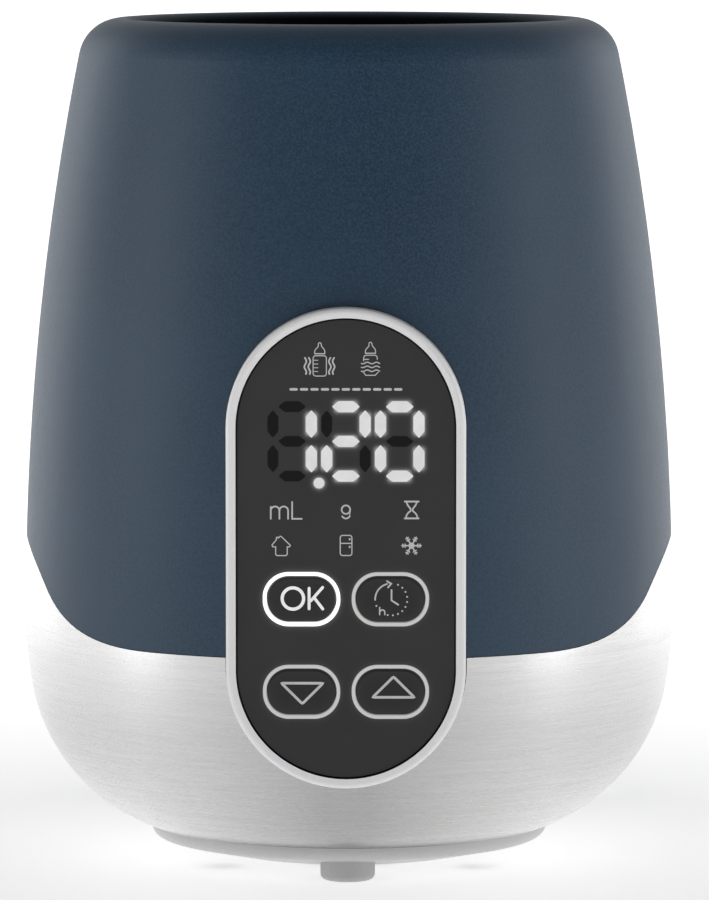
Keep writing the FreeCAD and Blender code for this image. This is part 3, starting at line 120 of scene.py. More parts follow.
def moulded(name, colour, roughness=0.5, grain_mm=0.25, depth_mm=0.012, mottle=0.06, **inputs):
    """Moulded plastic or rubber: fine grain in its surface and slight clouding in its colour."""
    made = Surface(name, colour, roughness, **inputs)
    grain, cloud = made.noise(grain_mm, 3.0), made.noise(9.0)
    dark = tuple(c * (1 - 2 * mottle) for c in shade(colour)[:3]) + (1,)
    light = tuple(c * (1 + 2 * mottle) for c in shade(colour)[:3]) + (1,)
    blotches = made.maths("MULTIPLY_ADD", grain, 0.6, made.maths("MULTIPLY", cloud, 0.4))
    made.set("Base Color", made.mix(blotches, dark, light))
    made.set("Roughness", made.span(cloud, 0.3, 0.7, roughness - 0.04, roughness + 0.04))
    made.bump(grain, depth_mm)
    return made


def shell_paint():
    """Matt slate-blue soft-touch plastic with a fine pale speckle, and painted shade making it near black
    down in the opening at the top.
    """
    made = Surface("shell_soft_touch", "222f3d", 0.46, Sheen_Roughness=0.45)
    made.set("Sheen Tint", shade("c3c7d2"))
    speck = made.span(made.noise(0.22, 4.0), 0.42, 0.62)
    cloud = made.span(made.noise(14.0), 0.3, 0.7)
    x, y, z = (made.node("SeparateXYZ", (made.place(),), out=i) for i in range(3))
    across = made.maths("SQRT", made.maths("MULTIPLY_ADD", x, x, made.maths("MULTIPLY", y, y)))
    # painted shade: down in the opening the colour is mixed to near black and the sheen and reflection are
    # turned down, standing in for the shade in the well
    painted_mouth_shade = made.maths("MULTIPLY", made.span(across, MOUTH * MM, (MOUTH + 1.2) * MM, 1.0, 0.0),
                       made.maths("GREATER_THAN", z, 0.15))
    base = made.mix(cloud, shade("142f45"), shade("1a364c"))
    base = made.mix(made.maths("MULTIPLY", speck, 0.5), base, shade("2f4d63"))
    made.set("Base Color", made.mix(painted_mouth_shade, base, shade("04070c")))
    made.set("Sheen Weight", made.span(painted_mouth_shade, 0.0, 1.0, 0.13, 0.0))
    made.set("Specular IOR Level", made.span(painted_mouth_shade, 0.0, 1.0, 0.42, 0.04))
    made.set("Roughness", made.span(speck, 0.0, 1.0, 0.43, 0.53))
    made.bump(speck, 0.01)
    return made


def brushed(name, colour, roughness=0.3, lines_mm=0.07, length=60.0, depth_mm=0.0015, around=True):
    """Brushed metal. Its lines run round the body's axis, or along X where around is False."""
    made = Surface(name, colour, roughness, 1.0, Anisotropic=0.55)
    stretch = (1 / length, 1 / length, 1) if around else (1 / length, 1, 1)
    fine, broad = made.noise(lines_mm, 2.0, stretch), made.noise(lines_mm * 6, 2.0, stretch)
    lines = made.maths("MULTIPLY_ADD", fine, 0.65, made.maths("MULTIPLY", broad, 0.35))
    bright = shade(colour)
    made.set("Base Color", made.mix(made.span(lines, 0.35, 0.65), tuple(c * 0.94 for c in bright[:3]) + (1,),
                                    tuple(min(1.0, c * 1.05) for c in bright[:3]) + (1,)))
    made.set("Roughness", made.span(lines, 0.35, 0.65, roughness + 0.03, roughness - 0.03))
    if around:
        made.set("Tangent", made.node("Tangent", direction_type="RADIAL", axis="Z"))
        made.set("Anisotropic Rotation", 0.25)
    made.bump(lines, depth_mm)
    return made


def skirt_steel():
    """The skirt's brushed steel, with painted shade that darkens it along its front and back, so that it is
    paler towards its sides.
    """
    made = brushed("skirt_brushed_steel", "dfdede", 0.27)
    across = made.maths("ABSOLUTE", made.node("SeparateXYZ", (made.place(),), out=0))
    # painted shade: the steel's colour is darkened along the front and back, standing in for the dim
    # reflection seen there
    painted_front_back_shade = made.span(across, 4 * MM, 40 * MM, 0.62, 0.0)
    bright = made.shader.inputs["Base Color"].links[0].from_socket
    made.set("Base Color", made.mix(painted_front_back_shade, bright, shade("8f8e8e")))
    return made


def plated(name, colour, roughness=0.22):
    """Plated or drawn metal with faint handling marks."""
    made = Surface(name, colour, roughness, 1.0)
    marks = made.noise(1.2, 4.0)
    made.set("Roughness", made.span(marks, 0.3, 0.7, roughness - 0.06, roughness + 0.1))
    made.bump(marks, 0.004)
    return made


def circuit(name):
    """Green solder mask over faint tracks."""
    made = Surface(name, "14532e", 0.3, Coat_Weight=0.4)
    waves = made.maths("PINGPONG", made.maths("MULTIPLY", made.noise(2.2, 0.0), 6.0), 0.5)
    track = made.span(waves, 0.18, 0.26)
    made.set("Base Color", made.mix(track, shade("2c7a48"), shade("12472a")))
    made.bump(track, 0.01)
    return made


# ------------------------------------------------------------------ panel layout, in millimetres

def size_mm(node):
    low, high = (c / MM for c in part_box(node))
    return low, high


LENS_LOW, LENS_HIGH = size_mm("panel_lens")
LENS_FACE, LENS_MIDDLE = LENS_LOW.y, (LENS_LOW.z + LENS_HIGH.z) / 2
DIGIT_LOW, DIGIT_HIGH = size_mm("digit_segments")
KEY_BOXES = {name: size_mm("key_" + name) for name in ("ok", "timer", "down", "up")}
KEY_CENTRES = {name: ((low.x + high.x) / 2, (low.z + high.z) / 2) for name, (low, high) in KEY_BOXES.items()}
KEY_FACE = KEY_BOXES["ok"][0].y
RING_HALF, RING_CORNER = (7.4, 5.2), 5.0

SEGMENT_REACH, SEGMENT_HALF, SEGMENT_TAPER = 2.68, 1.08, 1.25
DIGIT_HALF_WIDTH = 3.68
DIGIT_PITCH = (DIGIT_HIGH.x - DIGIT_LOW.x) / 2 - DIGIT_HALF_WIDTH - SEGMENT_HALF
DIGIT_HALF_HEIGHT = 6.67
DIGIT_MIDDLE = DIGIT_HIGH.z - DIGIT_HALF_HEIGHT - SEGMENT_HALF
# each bar of a digit: its place in half widths and half heights from the digit's middle, and whether it
# lies flat
BARS = {"top": (0, 1, True), "middle": (0, 0, True), "bottom": (0, -1, True), "high_left": (-1, 0.5, False),
        "high_right": (1, 0.5, False), "low_left": (-1, -0.5, False), "low_right": (1, -0.5, False)}
SHOWN = [
    {"high_right", "low_right"},
    {"top", "high_right", "middle", "low_left", "bottom"},
    set(BARS) - {"middle"},
]
POINT = (-DIGIT_PITCH / 2, DIGIT_MIDDLE - DIGIT_HALF_HEIGHT - 1.35, 1.05)
DIGIT_GLOW = (0.25, 0.2)  # how far the light round a lit bar reaches, and its strength


def digit_bars(lit):
    """The middle and direction of each lit or unlit bar."""
    out = []
    for place, shown in zip((-1, 0, 1), SHOWN):
        for name, (across, up, flat) in BARS.items():
            if (name in shown) == lit:
                out.append((place * DIGIT_PITCH + across * DIGIT_HALF_WIDTH,
                            DIGIT_MIDDLE + up * DIGIT_HALF_HEIGHT, flat))
    return out


def box_glow(made, x, z, half_x, half_z, corner, reach, strength):
    """Light that fades away from a round-cornered box on the panel, as a node output."""
    away = made.vector("ABSOLUTE", made.vector("SUBTRACT", made.place(), (x * MM, LENS_FACE * MM, z * MM)))
    past = made.vector("SUBTRACT", away, ((half_x - corner) * MM, 1.0, (half_z - corner) * MM))
    outside = made.vector("LENGTH", made.vector("MAXIMUM", past, (0, 0, 0)), out=1)
    distance = made.maths("MAXIMUM", made.maths("SUBTRACT", outside, corner * MM), 0.0)
    fade = made.maths("EXPONENT", made.maths("DIVIDE", distance, -reach * MM))
    return made.maths("MULTIPLY", fade, strength)


def lens_plastic():
    """Smoked glossy plastic, lit softly from within round the lit bars and light rings."""
    made = Surface("panel_smoked_lens", "292929", 0.32, Specular_IOR_Level=0.3)
    glow = made.maths("ADD", 0.0, 0.0)
    for x, z, flat in digit_bars(lit=True):
        half = (SEGMENT_REACH - 0.5, SEGMENT_HALF) if flat else (SEGMENT_HALF, SEGMENT_REACH - 0.5)
        glow = made.maths("MAXIMUM", glow, box_glow(made, x, z, *half, 0.6, *DIGIT_GLOW))
    x, z, radius = POINT
    glow = made.maths("MAXIMUM", glow, box_glow(made, x, z, radius, radius, radius, *DIGIT_GLOW))
    for name, (x, z) in KEY_CENTRES.items():
        strength = 0.07 if name == "ok" else 0.03
        glow = made.maths("MAXIMUM", glow, box_glow(made, x, z, *RING_HALF, RING_CORNER, 0.35, strength))
    made.set("Emission Color", (1, 1, 1, 1))
    made.set("Emission Strength", glow)
    made.set("Roughness", made.span(made.noise(6.0), 0.3, 0.7, 0.28, 0.36))
    return made


def bezel_plastic():
    """Satin grey, with painted shade on the wall that faces the lens: black there, so that the gap round the
    lens reads dark.
    """
    made = moulded("bezel_satin_grey", "eeeeef", 0.3, 0.2, 0.004, 0.02)
    half = (LENS_HIGH.x - LENS_LOW.x) / 2 * MM
    straight = (LENS_HIGH.z - LENS_LOW.z) / 2 * MM - half
    away = made.vector("ABSOLUTE", made.vector("SUBTRACT", made.place(), (0, 0, LENS_MIDDLE * MM)))
    past = made.vector("MAXIMUM", made.vector("SUBTRACT", away, (0, 1.0, straight)), (0, 0, 0))
    # painted shade: the bezel's wall round the lens is painted black, standing in for the shade in the gap
    # between them
    painted_gap_shade = made.maths("LESS_THAN", made.vector("LENGTH", past, out=1), half + 0.35 * MM)
    grey = made.shader.inputs["Base Color"].links[0].from_socket
    made.set("Base Color", made.mix(painted_gap_shade, grey, shade("060606")))
    return made


def key_plastic(name):
    """A key's dark plastic, with light from its ring spilling over its edge."""
    made = Surface("key_plastic_" + name, "1a1a1b", 0.38, Specular_IOR_Level=0.35)
    x, z = KEY_CENTRES[name]
    away = made.vector("ABSOLUTE", made.vector("SUBTRACT", made.place(), (x * MM, KEY_FACE * MM, z * MM)))
    core = [(half - RING_CORNER) * MM for half in RING_HALF]
    past = made.vector("SUBTRACT", away, (core[0], 1.0, core[1]))
    outside = made.vector("LENGTH", made.vector("MAXIMUM", past, (0, 0, 0)), out=1)
    inwards = made.maths("SUBTRACT", RING_CORNER * MM, outside)
    spill = made.maths("EXPONENT", made.maths("DIVIDE", inwards, -1.5 * MM))
    made.set("Emission Color", (1, 1, 1, 1))
    made.set("Emission Strength", made.maths("MULTIPLY", spill, 0.014))
    made.bump(made.noise(0.3, 2.0), 0.004)
    return made


def ring_diffuser():
    """Milky light pipes. The confirm key's ring is fully lit and the other three glow less."""
    made = Surface("ring_diffuser", "d8d8d6", 0.4)
    x, y, z = (made.node("SeparateXYZ", (made.place(),), out=i) for i in range(3))
    left = made.maths("LESS_THAN", x, 0.0)
    upper = made.maths("GREATER_THAN", z, (KEY_CENTRES["ok"][1] + KEY_CENTRES["down"][1]) / 2 * MM)
    chosen = made.maths("MULTIPLY", left, upper)
    made.set("Base Color", made.mix(chosen, shade("b4b4b2"), shade("ffffff")))
    made.set("Emission Color", (1, 1, 1, 1))
    made.set("Emission Strength", made.span(chosen, 0.0, 1.0, 0.22, 0.85))
    return made


def lit(name, strength, colour="ffffff"):
    """Printed windows with light behind them, a little uneven as such windows are."""
    made = Surface(name, "3a3a3a", 0.5, Specular_IOR_Level=0.1)
    made.set("Emission Color", shade(colour))
    made.set("Emission Strength", made.span(made.noise(1.5), 0.3, 0.7, strength * 0.94, strength * 1.06))
    return made


def clear_glass(name):
    made = Surface(name, "f0f4f4", 0.05, Transmission_Weight=0.9, IOR=1.45)
    made.set("Roughness", made.span(made.noise(0.8), 0.3, 0.7, 0.03, 0.1))
    return made


def dress_nodes():
    """Gives every CAD node its material."""
    screw_metal, ink = plated("zinc_screw", "a6a7a8", 0.28), moulded("black_moulding", "17181b", 0.5)
    coats = {
        shell_paint(): ["outer_shell"],
        skirt_steel(): ["steel_skirt"],
        moulded("base_grey_moulding", "c2c2c2", 0.42, 0.3): ["base_plate"],
        moulded("foot_rubber", "b4b4b4", 0.62, 0.35, 0.02): ["rubber_feet"],
        moulded("well_dark_moulding", "0b1017", 0.42, 0.4): ["well_liner"],
        moulded("silicone_seal", "c9c1b8", 0.6): ["plate_gasket"],
        brushed("plate_brushed_steel", "bcbab6", 0.3): ["heating_plate", "probe_bracket"],
        brushed("spreader_aluminium", "c5c6c8", 0.35): ["heat_spreader"],
        plated("heater_tube_metal", "78706a", 0.45): ["heating_element"],
        screw_metal: ["base_screws", "liner_screws", "bezel_screws", "control_board_screws",
                      "power_board_screws", "probe_spring"],
        plated("contact_brass", "b99a52", 0.3): ["heater_terminals", "temperature_probe"],
        moulded("ceramic_body", "d8d1c2", 0.35): ["thermostat", "thermal_fuse"],
        moulded("heatproof_black", "232427", 0.55, 0.4, 0.02): ["heater_carrier"],
        moulded("basket_slate_moulding", "56636f", 0.36, 0.5, 0.01): ["lift_basket"],
        bezel_plastic(): ["panel_bezel"],
        lens_plastic(): ["panel_lens"],
        ink: ["panel_frame", "key_plunger_ok", "key_plunger_timer", "key_plunger_down", "key_plunger_up",
              "switch_bodies", "ribbon_sockets", "cord_tie", "display_module"],
        ring_diffuser(): ["key_light_rings"],
        lit("lamp_milky", 0.4, "e8e6de"): ["indicator_leds", "digit_segments"],
        circuit("solder_mask_green"): ["control_board", "power_board"],
        moulded("relay_blue_case", "2b4d7c", 0.35): ["relay"],
        moulded("transformer_tape", "b89f43", 0.45): ["transformer"],
        moulded("capacitor_sleeve", "203a66", 0.3): ["capacitors"],
        moulded("terminal_green_case", "2f7a4a", 0.4): ["terminal_block"],
        clear_glass("fuse_tube_glass"): ["mains_fuse"],
        moulded("lead_braid", "cfcac0", 0.7, 0.4, 0.04): ["heater_leads", "probe_leads"],
        moulded("lead_brown_cover", "6a4a30", 0.5): ["mains_leads"],
        moulded("ribbon_cover", "9a9aa0", 0.5): ["ribbon_cable"],
        moulded("cord_sheath", "a4a6a9", 0.48, 0.3, 0.01, 0.04): ["power_cord"],
        moulded("plug_grey_moulding", "9fa1a4", 0.45, 0.4, 0.02): ["plug_body", "strain_relief"],
        plated("plug_pin_nickel", "cac8c0", 0.2): ["plug_pins"],
    }
    for key in KEY_CENTRES:
        coats[key_plastic(key)] = ["key_" + key]
    for surface, nodes in coats.items():
        for node in nodes:
            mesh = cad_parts[node].data
            mesh.materials.clear()
            mesh.materials.append(surface.material)
    left_out = set(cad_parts) - {node for nodes in coats.values() for node in nodes}
    if left_out:
        raise SystemExit(f"CAD nodes with no material: {sorted(left_out)}")


# ------------------------------------------------------------------ graphics on the panel

def curve(x, z, radius, start, end, steps=12, stretch=1.0):
    """Points on an arc, in degrees anticlockwise as seen from the front."""
    angles = [math.radians(start + (end - start) * i / steps) for i in range(steps + 1)]
    return [(x + radius * math.cos(a), z + radius * stretch * math.sin(a)) for a in angles]


def disc(x, z, radius, steps=20):
    return curve(x, z, radius, 0, 360, steps)[:-1]


def round_box(x, z, half_x, half_z, corner, steps=4):
    """A round-cornered box outline, anticlockwise."""
    out = []
    for quarter, (side, up) in enumerate(((1, 1), (-1, 1), (-1, -1), (1, -1))):
        out += curve(x + side * (half_x - corner), z + up * (half_z - corner), corner,
                     90 * quarter, 90 * quarter + 90, steps)
    return out


def shifted(points, x, z):
    return [(x + a, z + b) for a, b in points]


def eased(points, cut):
    """A closed outline with each corner turned into a short curve that starts this far before it."""
    out = []
    for i, corner in enumerate(points):
        corner = Vector(corner)
        before, after = Vector(points[i - 1]), Vector(points[(i + 1) % len(points)])
        start = corner + (before - corner).normalized() * cut
        end = corner + (after - corner).normalized() * cut
        out += [tuple(start), tuple((start + 2 * corner + end) / 4), tuple(end)]
    return out


class Relief:
    """Thin closed shapes let into a face that looks along -Y and standing a hair proud of it."""
    PROUD, SUNK = 0.035, 0.08

    def __init__(self, face):
        self.mesh = bmesh.new()
        self.front, self.back = face - self.PROUD, face + self.SUNK

    def corner(self, point, depth):
        return self.mesh.verts.new((point[0] * MM, depth * MM, point[1] * MM))

    def fill(self, outline):
        """A filled outline, anticlockwise as seen from the front."""
        front = [self.corner(p, self.front) for p in outline]
        back = [self.corner(p, self.back) for p in outline]
        self.mesh.faces.new(front)
        self.mesh.faces.new(back[::-1])
        for i in range(len(outline)):
            after = (i + 1) % len(outline)
            self.mesh.faces.new((front[after], front[i], back[i], back[after]))

    @staticmethod
    def sides(line, half, closed):
        """The two edges of a stroke along a line, mitred at its bends."""
        count, left, right = len(line), [], []
        for i, (x, z) in enumerate(line):
            before = line[i - 1] if i or closed else None
            after = line[(i + 1) % count] if i < count - 1 or closed else None
            ways = []
            for start, end in ((before, (x, z)), ((x, z), after)):
                if start and end:
                    run = Vector((end[0] - start[0], end[1] - start[1])).normalized()
                    ways.append(Vector((-run.y, run.x)))
            normal = sum(ways, Vector((0, 0))).normalized()
            reach = half / max(normal.dot(ways[0]), 0.45)
            left.append((x + normal.x * reach, z + normal.y * reach))
            right.append((x - normal.x * reach, z - normal.y * reach))
        return left, right

    def stroke(self, line, width, closed=False):
        """A line with round ends, or a closed band."""
        left, right = self.sides(line, width / 2, closed)
        if not closed:
            self.fill(self.rounded(left, right, width / 2))
            return
        edges = ((left, self.front), (right, self.front), (right, self.back), (left, self.back))
        rails = [[self.corner(p, depth) for p in edge] for edge, depth in edges]
        for i in range(len(line)):
            after = (i + 1) % len(line)
            for rail, beside in zip(rails, rails[1:] + rails[:1]):
                self.mesh.faces.new((rail[i], rail[after], beside[after], beside[i]))

    @staticmethod
    def rounded(left, right, radius, steps=5):
        """The outline of an open stroke: along its right side, round the end, and back along its left."""
        def cap(start, end):
            x, z = (start[0] + end[0]) / 2, (start[1] + end[1]) / 2
            first = math.degrees(math.atan2(start[1] - z, start[0] - x))
            return curve(x, z, radius, first, first + 180, steps)[1:-1]
        return right + cap(right[-1], left[-1]) + left[::-1] + cap(left[0], right[0])

    def piece(self, name, body, surface, slot):
        """Makes the shapes one piece that rides on a body."""
        bmesh.ops.recalc_face_normals(self.mesh, faces=self.mesh.faces)
        bmesh.ops.triangulate(self.mesh, faces=[f for f in self.mesh.faces if len(f.verts) > 4])
        data = bpy.data.meshes.new(name)
        self.mesh.to_mesh(data)
        self.mesh.free()
        made = bpy.data.objects.new(name, data)
        bpy.context.scene.collection.objects.link(made)
        data.materials.append(surface.material)
        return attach(made, body)


def bar_outline(x, z, flat, grow=0.0):
    """One pointed bar of a digit, with its corners eased."""
    reach, half = SEGMENT_REACH + grow, SEGMENT_HALF + grow
    neck, ease = reach - SEGMENT_TAPER, 0.22
    points = [(reach - ease, -ease), (reach - 0.05, 0), (reach - ease, ease),
              (neck + ease, half - ease * 0.8), (neck - 0.1, half)]
    points += [(-a, b) for a, b in points[::-1]]
    points += [(a, -b) for a, b in points[::-1] if abs(b) > ease]
    if not flat:
        points = [(-b, a) for a, b in points]
    return shifted(points, x, z)


def make_digits():
    bright, dark = Relief(LENS_FACE), Relief(LENS_FACE)
    for x, z, flat in digit_bars(lit=True):
        bright.fill(bar_outline(x, z, flat))
    bright.fill(disc(*POINT))
    for x, z, flat in digit_bars(lit=False):
        dark.fill(bar_outline(x, z, flat, -0.04))
    shown = bright.piece("digits_lit", "housing", lit("digit_light", 0.72, "f4f4f4"), "digit_clear")
    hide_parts("digit_segments")
    unlit = Surface("digit_unlit", "161616", 0.4, Specular_IOR_Level=0.1)
    unlit.bump(unlit.noise(0.5), 0.002)
    dark.piece("digits_unlit", "housing", unlit, "display_black")


def draw_bottle(ink, x, z, waves=False):
    """A feeding bottle about 6 mm tall: teat, collar line and round-cornered body."""
    line = 0.18
    teat = [(-0.97, -0.05), (-0.97, 0.45), (-0.8, 0.78), (-0.3, 1.3), (-0.28, 1.75),
            *curve(0, 1.78, 0.28, 165, 15, 5),
            (0.28, 1.75), (0.36, 1.35), (0.85, 0.78), (0.97, 0.45), (0.97, -0.05)]
    ink.stroke(shifted(teat, x, z), line)
    ink.stroke(shifted([(-0.97, -0.05), (0.97, -0.05)], x, z), line * 1.2)
    if not waves:
        ink.stroke(shifted(round_box(0, -2.38, 1.27, 1.95, 0.5), x, z), line, closed=True)
        for step in range(4):
            ink.stroke(shifted([(-1.1, -1.3 - 0.72 * step), (-0.35, -1.3 - 0.72 * step)], x, z), line * 0.8)
        return
    top = [(-1.3, -1.5), (-1.3, -0.95), *curve(-0.8, -0.93, 0.5, 180, 90, 4),
           *curve(0.8, -0.93, 0.5, 90, 0, 4), (1.3, -1.2)]
    ink.stroke(shifted(top, x, z), line)
    ink.stroke(shifted([(-1.2, -1.22), (-0.35, -1.22)], x, z), line)
    foot = [(-1.3, -3.75), (-0.9, -4.28), (0.9, -4.28), (1.45, -3.7)]
    ink.stroke(shifted(foot, x, z), line)
    for row in (-1.92, -2.66, -3.4):
        wave = [(-1.75 + 0.25 * i, row - 0.16 * math.sin(i * math.pi / 3.5 + 0.6)) for i in range(15)]
        ink.stroke(shifted(wave, x, z), line * 1.15)


def draw_steam(ink, x, z, lean):
    """An upright wavy line about 3.2 mm tall."""
    wave = [(lean * 0.2 * math.sin(i * math.pi / 4 - 0.5), 1.55 - 0.26 * i) for i in range(13)]
    ink.stroke(shifted(wave, x, z), 0.3)


def draw_house(ink, x, z):
    """A house about 3.7 mm tall: its walls, its eaves and roof, and the chimney on its left slope."""
    walls = [(-1.05, -0.17), (-1.05, -1.6), (-0.8, -1.85), (0.93, -1.85), (1.17, -1.6), (1.17, -0.17)]
    roof = [(1.6, -0.17), (1.78, 0.1), (0.08, 1.78), (-0.1, 1.88), (-0.28, 1.78)]
    chimney = [(-0.55, 1.52), (-0.66, 1.68), (-0.9, 1.66), (-0.95, 1.15), (-1.75, 0.2), (-1.62, -0.15)]
    ink.stroke(shifted(walls + roof + chimney, x, z), 0.2, closed=True)


def draw_fridge(ink, x, z):
    ink.stroke(shifted(round_box(0, 0, 1.12, 1.94, 0.45), x, z), 0.2, closed=True)
    ink.stroke(shifted([(-1.0, 0.41), (1.0, 0.41)], x, z), 0.2)
    for height in (1.2, -0.29):
        ink.stroke(shifted([(0.7, height + 0.06), (0.7, height - 0.06)], x, z), 0.34)


def draw_snowflake(ink, x, z):
    ink.fill(shifted(disc(0, 0, 0.6, 12), x, z))
    for arm in range(6):
        turn = math.radians(60 * arm)

        def spun(a, b, turn=turn):
            return (x + a * math.cos(turn) - b * math.sin(turn), z + a * math.sin(turn) + b * math.cos(turn))
        ink.stroke([spun(0.5, 0), spun(1.85, 0)], 0.26)
        for reach, half in ((1.05, 0.34), (1.5, 0.3)):
            ink.stroke([spun(reach + half * 0.6, half), spun(reach, 0), spun(reach + half * 0.6, -half)], 0.2)


def draw_hourglass(ink, x, z):
    half, tall = 1.2, 1.62
    ink.stroke(shifted([(-half - 0.12, tall), (half + 0.12, tall)], x, z), 0.34)
    ink.stroke(shifted([(-half - 0.12, -tall), (half + 0.12, -tall)], x, z), 0.34)
    for side in (-1, 1):
        glass = [(side * half * 0.88, tall), (side * half * 0.62, 0.9), (side * 0.2, 0.18),
                 (side * 0.2, -0.18), (side * half * 0.55, -0.55), (side * half * 0.84, -1.05),
                 (side * half * 0.9, -tall)]
        ink.stroke(shifted(glass, x, z), 0.3)


def draw_units(ink):
    """The two unit marks: millilitres and grams."""
    line, foot = 0.3, LENS_MIDDLE + 5.87
    left, pitch, rise = -14.4, 1.66, 1.55
    ink.stroke([(left, foot), (left, foot + rise + 0.75)], line)
    for hump in (0, 1):
        centre = left + pitch * (hump + 0.5)
        ink.stroke([*curve(centre, foot + rise, pitch / 2, 180, 0, 10), (centre + pitch / 2, foot)], line)
    ink.stroke([(-10.3, foot + 3.25), (-10.3, foot), (-8.45, foot)], line)
    ink.stroke(disc(0, foot + 1.77, 0.82), line, closed=True)
    ink.stroke([(0.82, foot + 1.87), (0.82, foot + 0.87), *curve(0, foot + 0.89, 0.82, 0, -150, 10)], line)


def make_symbols():
    """The small white symbols and unit marks, and a row of dashes above the digits."""
    ink = Relief(LENS_FACE)
    draw_bottle(ink, -5.0, LENS_MIDDLE + 37.65)
    for x, lean in ((-7.75, 1), (-7.0, 1), (-3.05, -1), (-2.35, -1)):
        draw_steam(ink, x, LENS_MIDDLE + 35.27, lean)
    draw_bottle(ink, 4.7, LENS_MIDDLE + 37.75, waves=True)
    draw_hourglass(ink, 12.6, LENS_MIDDLE + 7.59)
    draw_units(ink)
    draw_house(ink, -12.42, LENS_MIDDLE + 0.63)
    draw_fridge(ink, 0.03, LENS_MIDDLE + 0.74)
    draw_snowflake(ink, 12.57, LENS_MIDDLE + 0.71)
    height, pitch, half = LENS_MIDDLE + 30.77, 2.0, 0.55
    for step in range(-5, 6):
        ink.stroke([(step * pitch - half, height), (step * pitch + half, height)], 0.5)
    ink.piece("panel_symbols", "housing", lit("symbol_light", 0.5, "e6e6e6"), "digit_clear")

    drop = Relief(LENS_FACE)
    drop.fill(shifted([(0, 1.3), *curve(0, -0.3, 0.85, 150, 390, 16)], 0.4, LENS_MIDDLE - 36.38))
    dark = Surface("drop_window", "121213", 0.35)
    dark.bump(dark.noise(0.5), 0.002)
    drop.piece("water_drop_window", "housing", dark, "display_black")


def make_key_legends():
    """Each key's own legend, which moves with it."""
    white, grey = lit("legend_bright", 0.85, "f2f2f2"), lit("legend_grey", 0.5, "e4e4e4")
    x, z = KEY_CENTRES["ok"]
    ink = Relief(KEY_FACE)
    ink.stroke(shifted(disc(-1.64, 0.15, 2.06, 36), x, z), 0.62, closed=True)
    for line in ([(1.47, 2.13), (1.47, -1.83)], [(1.8, -0.3), (4.07, 2.3)], [(2.4, 0.36), (4.1, -1.87)]):
        ink.stroke(shifted(line, x, z), 0.56)
    ink.piece("legend_ok", "key_ok", white, "digit_clear")

    x, z = KEY_CENTRES["timer"][0] + 0.15, KEY_CENTRES["timer"][1]
    ink = Relief(KEY_FACE)
    ink.stroke(curve(x, z, 3.07, 182, 105, 14), 0.3)
    ink.stroke(shifted([(-0.8, 3.5), (0.0, 3.02), (-0.6, 2.3)], x, z), 0.32)
    ink.stroke(shifted([(0.07, 1.8), (0.07, -0.2), (1.36, -1.03)], x, z), 0.32)
    for angle in [65 - 18.6 * i for i in range(10)] + [204]:
        place = math.radians(angle)
        ink.fill(disc(x + 3.1 * math.cos(place), z + 3.1 * math.sin(place), 0.18, 10))
    ink.stroke(shifted([(-2.2, -1.57), (-2.2, -2.95)], x, z), 0.26)
    ink.stroke(shifted([*curve(-1.68, -2.5, 0.46, 165, 0, 8), (-1.22, -2.95)], x, z), 0.26)
    ink.piece("legend_timer", "key_timer", grey, "digit_clear")

    peaks = {"up": (0.61, -1.03, 2.95), "down": (0.15, 1.68, -2.3)}
    for name, (aside, base, apex) in peaks.items():
        x, z = KEY_CENTRES[name]
        ink = Relief(KEY_FACE)
        peak = eased([(-4.0, base), (4.0, base), (0, apex)], 0.3)
        ink.stroke(shifted(peak, x + aside, z), 0.5, closed=True)
        ink.piece("legend_" + name, "key_" + name, grey, "digit_clear")


# ------------------------------------------------------------------ studio

# each span of light: from and to, then the strength at each end. The floor's is by its distance from the
# object in metres, and the surroundings' are by the Y and the Z of the direction looked in.
FLOOR_GLOW = (0.1, 0.6, 0.5, 1.0)
FRONT_TO_BACK = (-1.0, -0.25, 0.17, 0.68)
LEVEL_TO_TOP = (0.05, 0.85, 1.0, 0.35)
# each softbox of the right side, with its twin on the left: name, place, width and height, and watts
SOFTBOXES = (("back", (0.85, 0.8, 0.25), (0.5, 0.9), 1.6), ("front", (1.1, -0.3, 0.12), (0.4, 0.9), 2.6))
LIT_POINT = (0, 0, 0.085)
CAMERA_PLACE, CAMERA_AIM = (0.0123, -1.342, 0.2084), (0.0011, 0, 0.0824)
SENSOR_WIDTH, FOCAL_LENGTH = 36.0, 267.9

def make_floor():
    """A wide pale floor, which fills the picture behind the object too."""
    reach = 12.0
    corners = [(-reach, -reach, 0), (reach, -reach, 0), (reach, reach, 0), (-reach, reach, 0)]
    data = bpy.data.meshes.new("studio_floor")
    data.from_pydata(corners, [], [(0, 1, 2, 3)])
    floor = bpy.data.objects.new("studio_floor", data)
    bpy.context.scene.collection.objects.link(floor)
    paint = Surface("floor_paint", "f8f8f8", 0.8, Specular_IOR_Level=0.0)
    paint.set("Emission Color", (1, 1, 1, 1))
    x, y = (paint.node("SeparateXYZ", (paint.place(),), out=i) for i in range(2))
    away = paint.maths("SQRT", paint.maths("MULTIPLY_ADD", x, x, paint.maths("MULTIPLY", y, y)))
    paint.set("Emission Strength", paint.span(away, *FLOOR_GLOW))
    data.materials.append(paint.material)


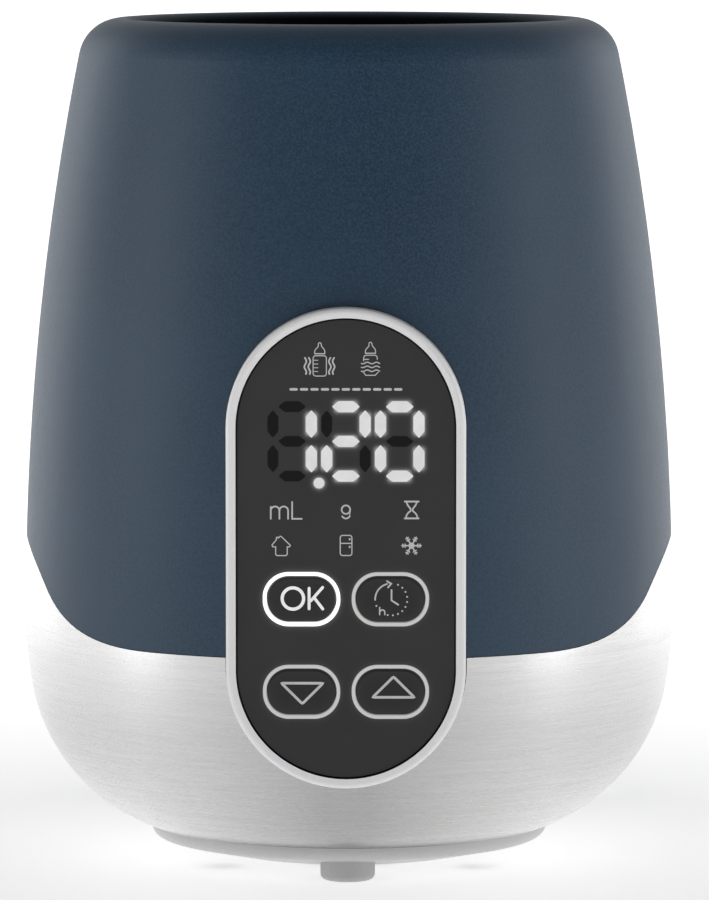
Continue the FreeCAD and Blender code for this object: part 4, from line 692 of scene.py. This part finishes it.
def make_light(name, place, target, size, power):
    light = bpy.data.lights.new(name, "AREA")
    light.shape, light.size, light.size_y = "RECTANGLE", size[0], size[1]
    light.energy = power
    lamp = bpy.data.objects.new(name, light)
    lamp.location = place
    lamp.rotation_euler = (Vector(target) - Vector(place)).to_track_quat("-Z", "Y").to_euler()
    bpy.context.scene.collection.objects.link(lamp)


def make_world():
    """Soft white all round, but dim on the camera's side and overhead, so that the object's front is dark."""
    world = bpy.data.worlds.new("studio_light")
    bpy.context.scene.world = world
    world.use_nodes = True
    tree = world.node_tree
    aim = tree.nodes.new("ShaderNodeTexCoord")
    split = tree.nodes.new("ShaderNodeSeparateXYZ")
    tree.links.new(aim.outputs["Generated"], split.inputs[0])
    spans = []
    for axis, values in ((1, FRONT_TO_BACK), (2, LEVEL_TO_TOP)):
        ramp = tree.nodes.new("ShaderNodeMapRange")
        tree.links.new(split.outputs[axis], ramp.inputs[0])
        for socket, value in enumerate(values, start=1):
            ramp.inputs[socket].default_value = value
        spans.append(ramp.outputs[0])
    both = tree.nodes.new("ShaderNodeMath")
    both.operation = "MULTIPLY"
    sky = tree.nodes["Background"]
    sky.inputs["Color"].default_value = (1, 1, 1, 1)
    for socket, span in zip(both.inputs, spans):
        tree.links.new(span, socket)
    tree.links.new(both.outputs[0], sky.inputs["Strength"])


def make_studio():
    make_floor()
    make_world()
    for side, mirror in (("left", -1), ("right", 1)):
        for name, (x, y, z), size, power in SOFTBOXES:
            make_light(f"{side}_{name}_softbox", (mirror * x, y, z), LIT_POINT, size, power)


def make_camera():
    """The view from the front and 5 degrees above level, from a long way off, with a long lens."""
    data = bpy.data.cameras.new("camera")
    data.sensor_width, data.lens = SENSOR_WIDTH, FOCAL_LENGTH
    data.clip_start, data.clip_end = 0.05, 50.0
    camera = bpy.data.objects.new("camera", data)
    camera.location = CAMERA_PLACE
    aim = Vector(CAMERA_AIM) - camera.location
    camera.rotation_euler = aim.to_track_quat("-Z", "Y").to_euler()
    bpy.context.scene.collection.objects.link(camera)
    bpy.context.scene.camera = camera
    bpy.context.scene.view_settings.view_transform = "Standard"


dress_nodes()
make_digits()
make_symbols()
make_key_legends()
make_studio()
make_camera()
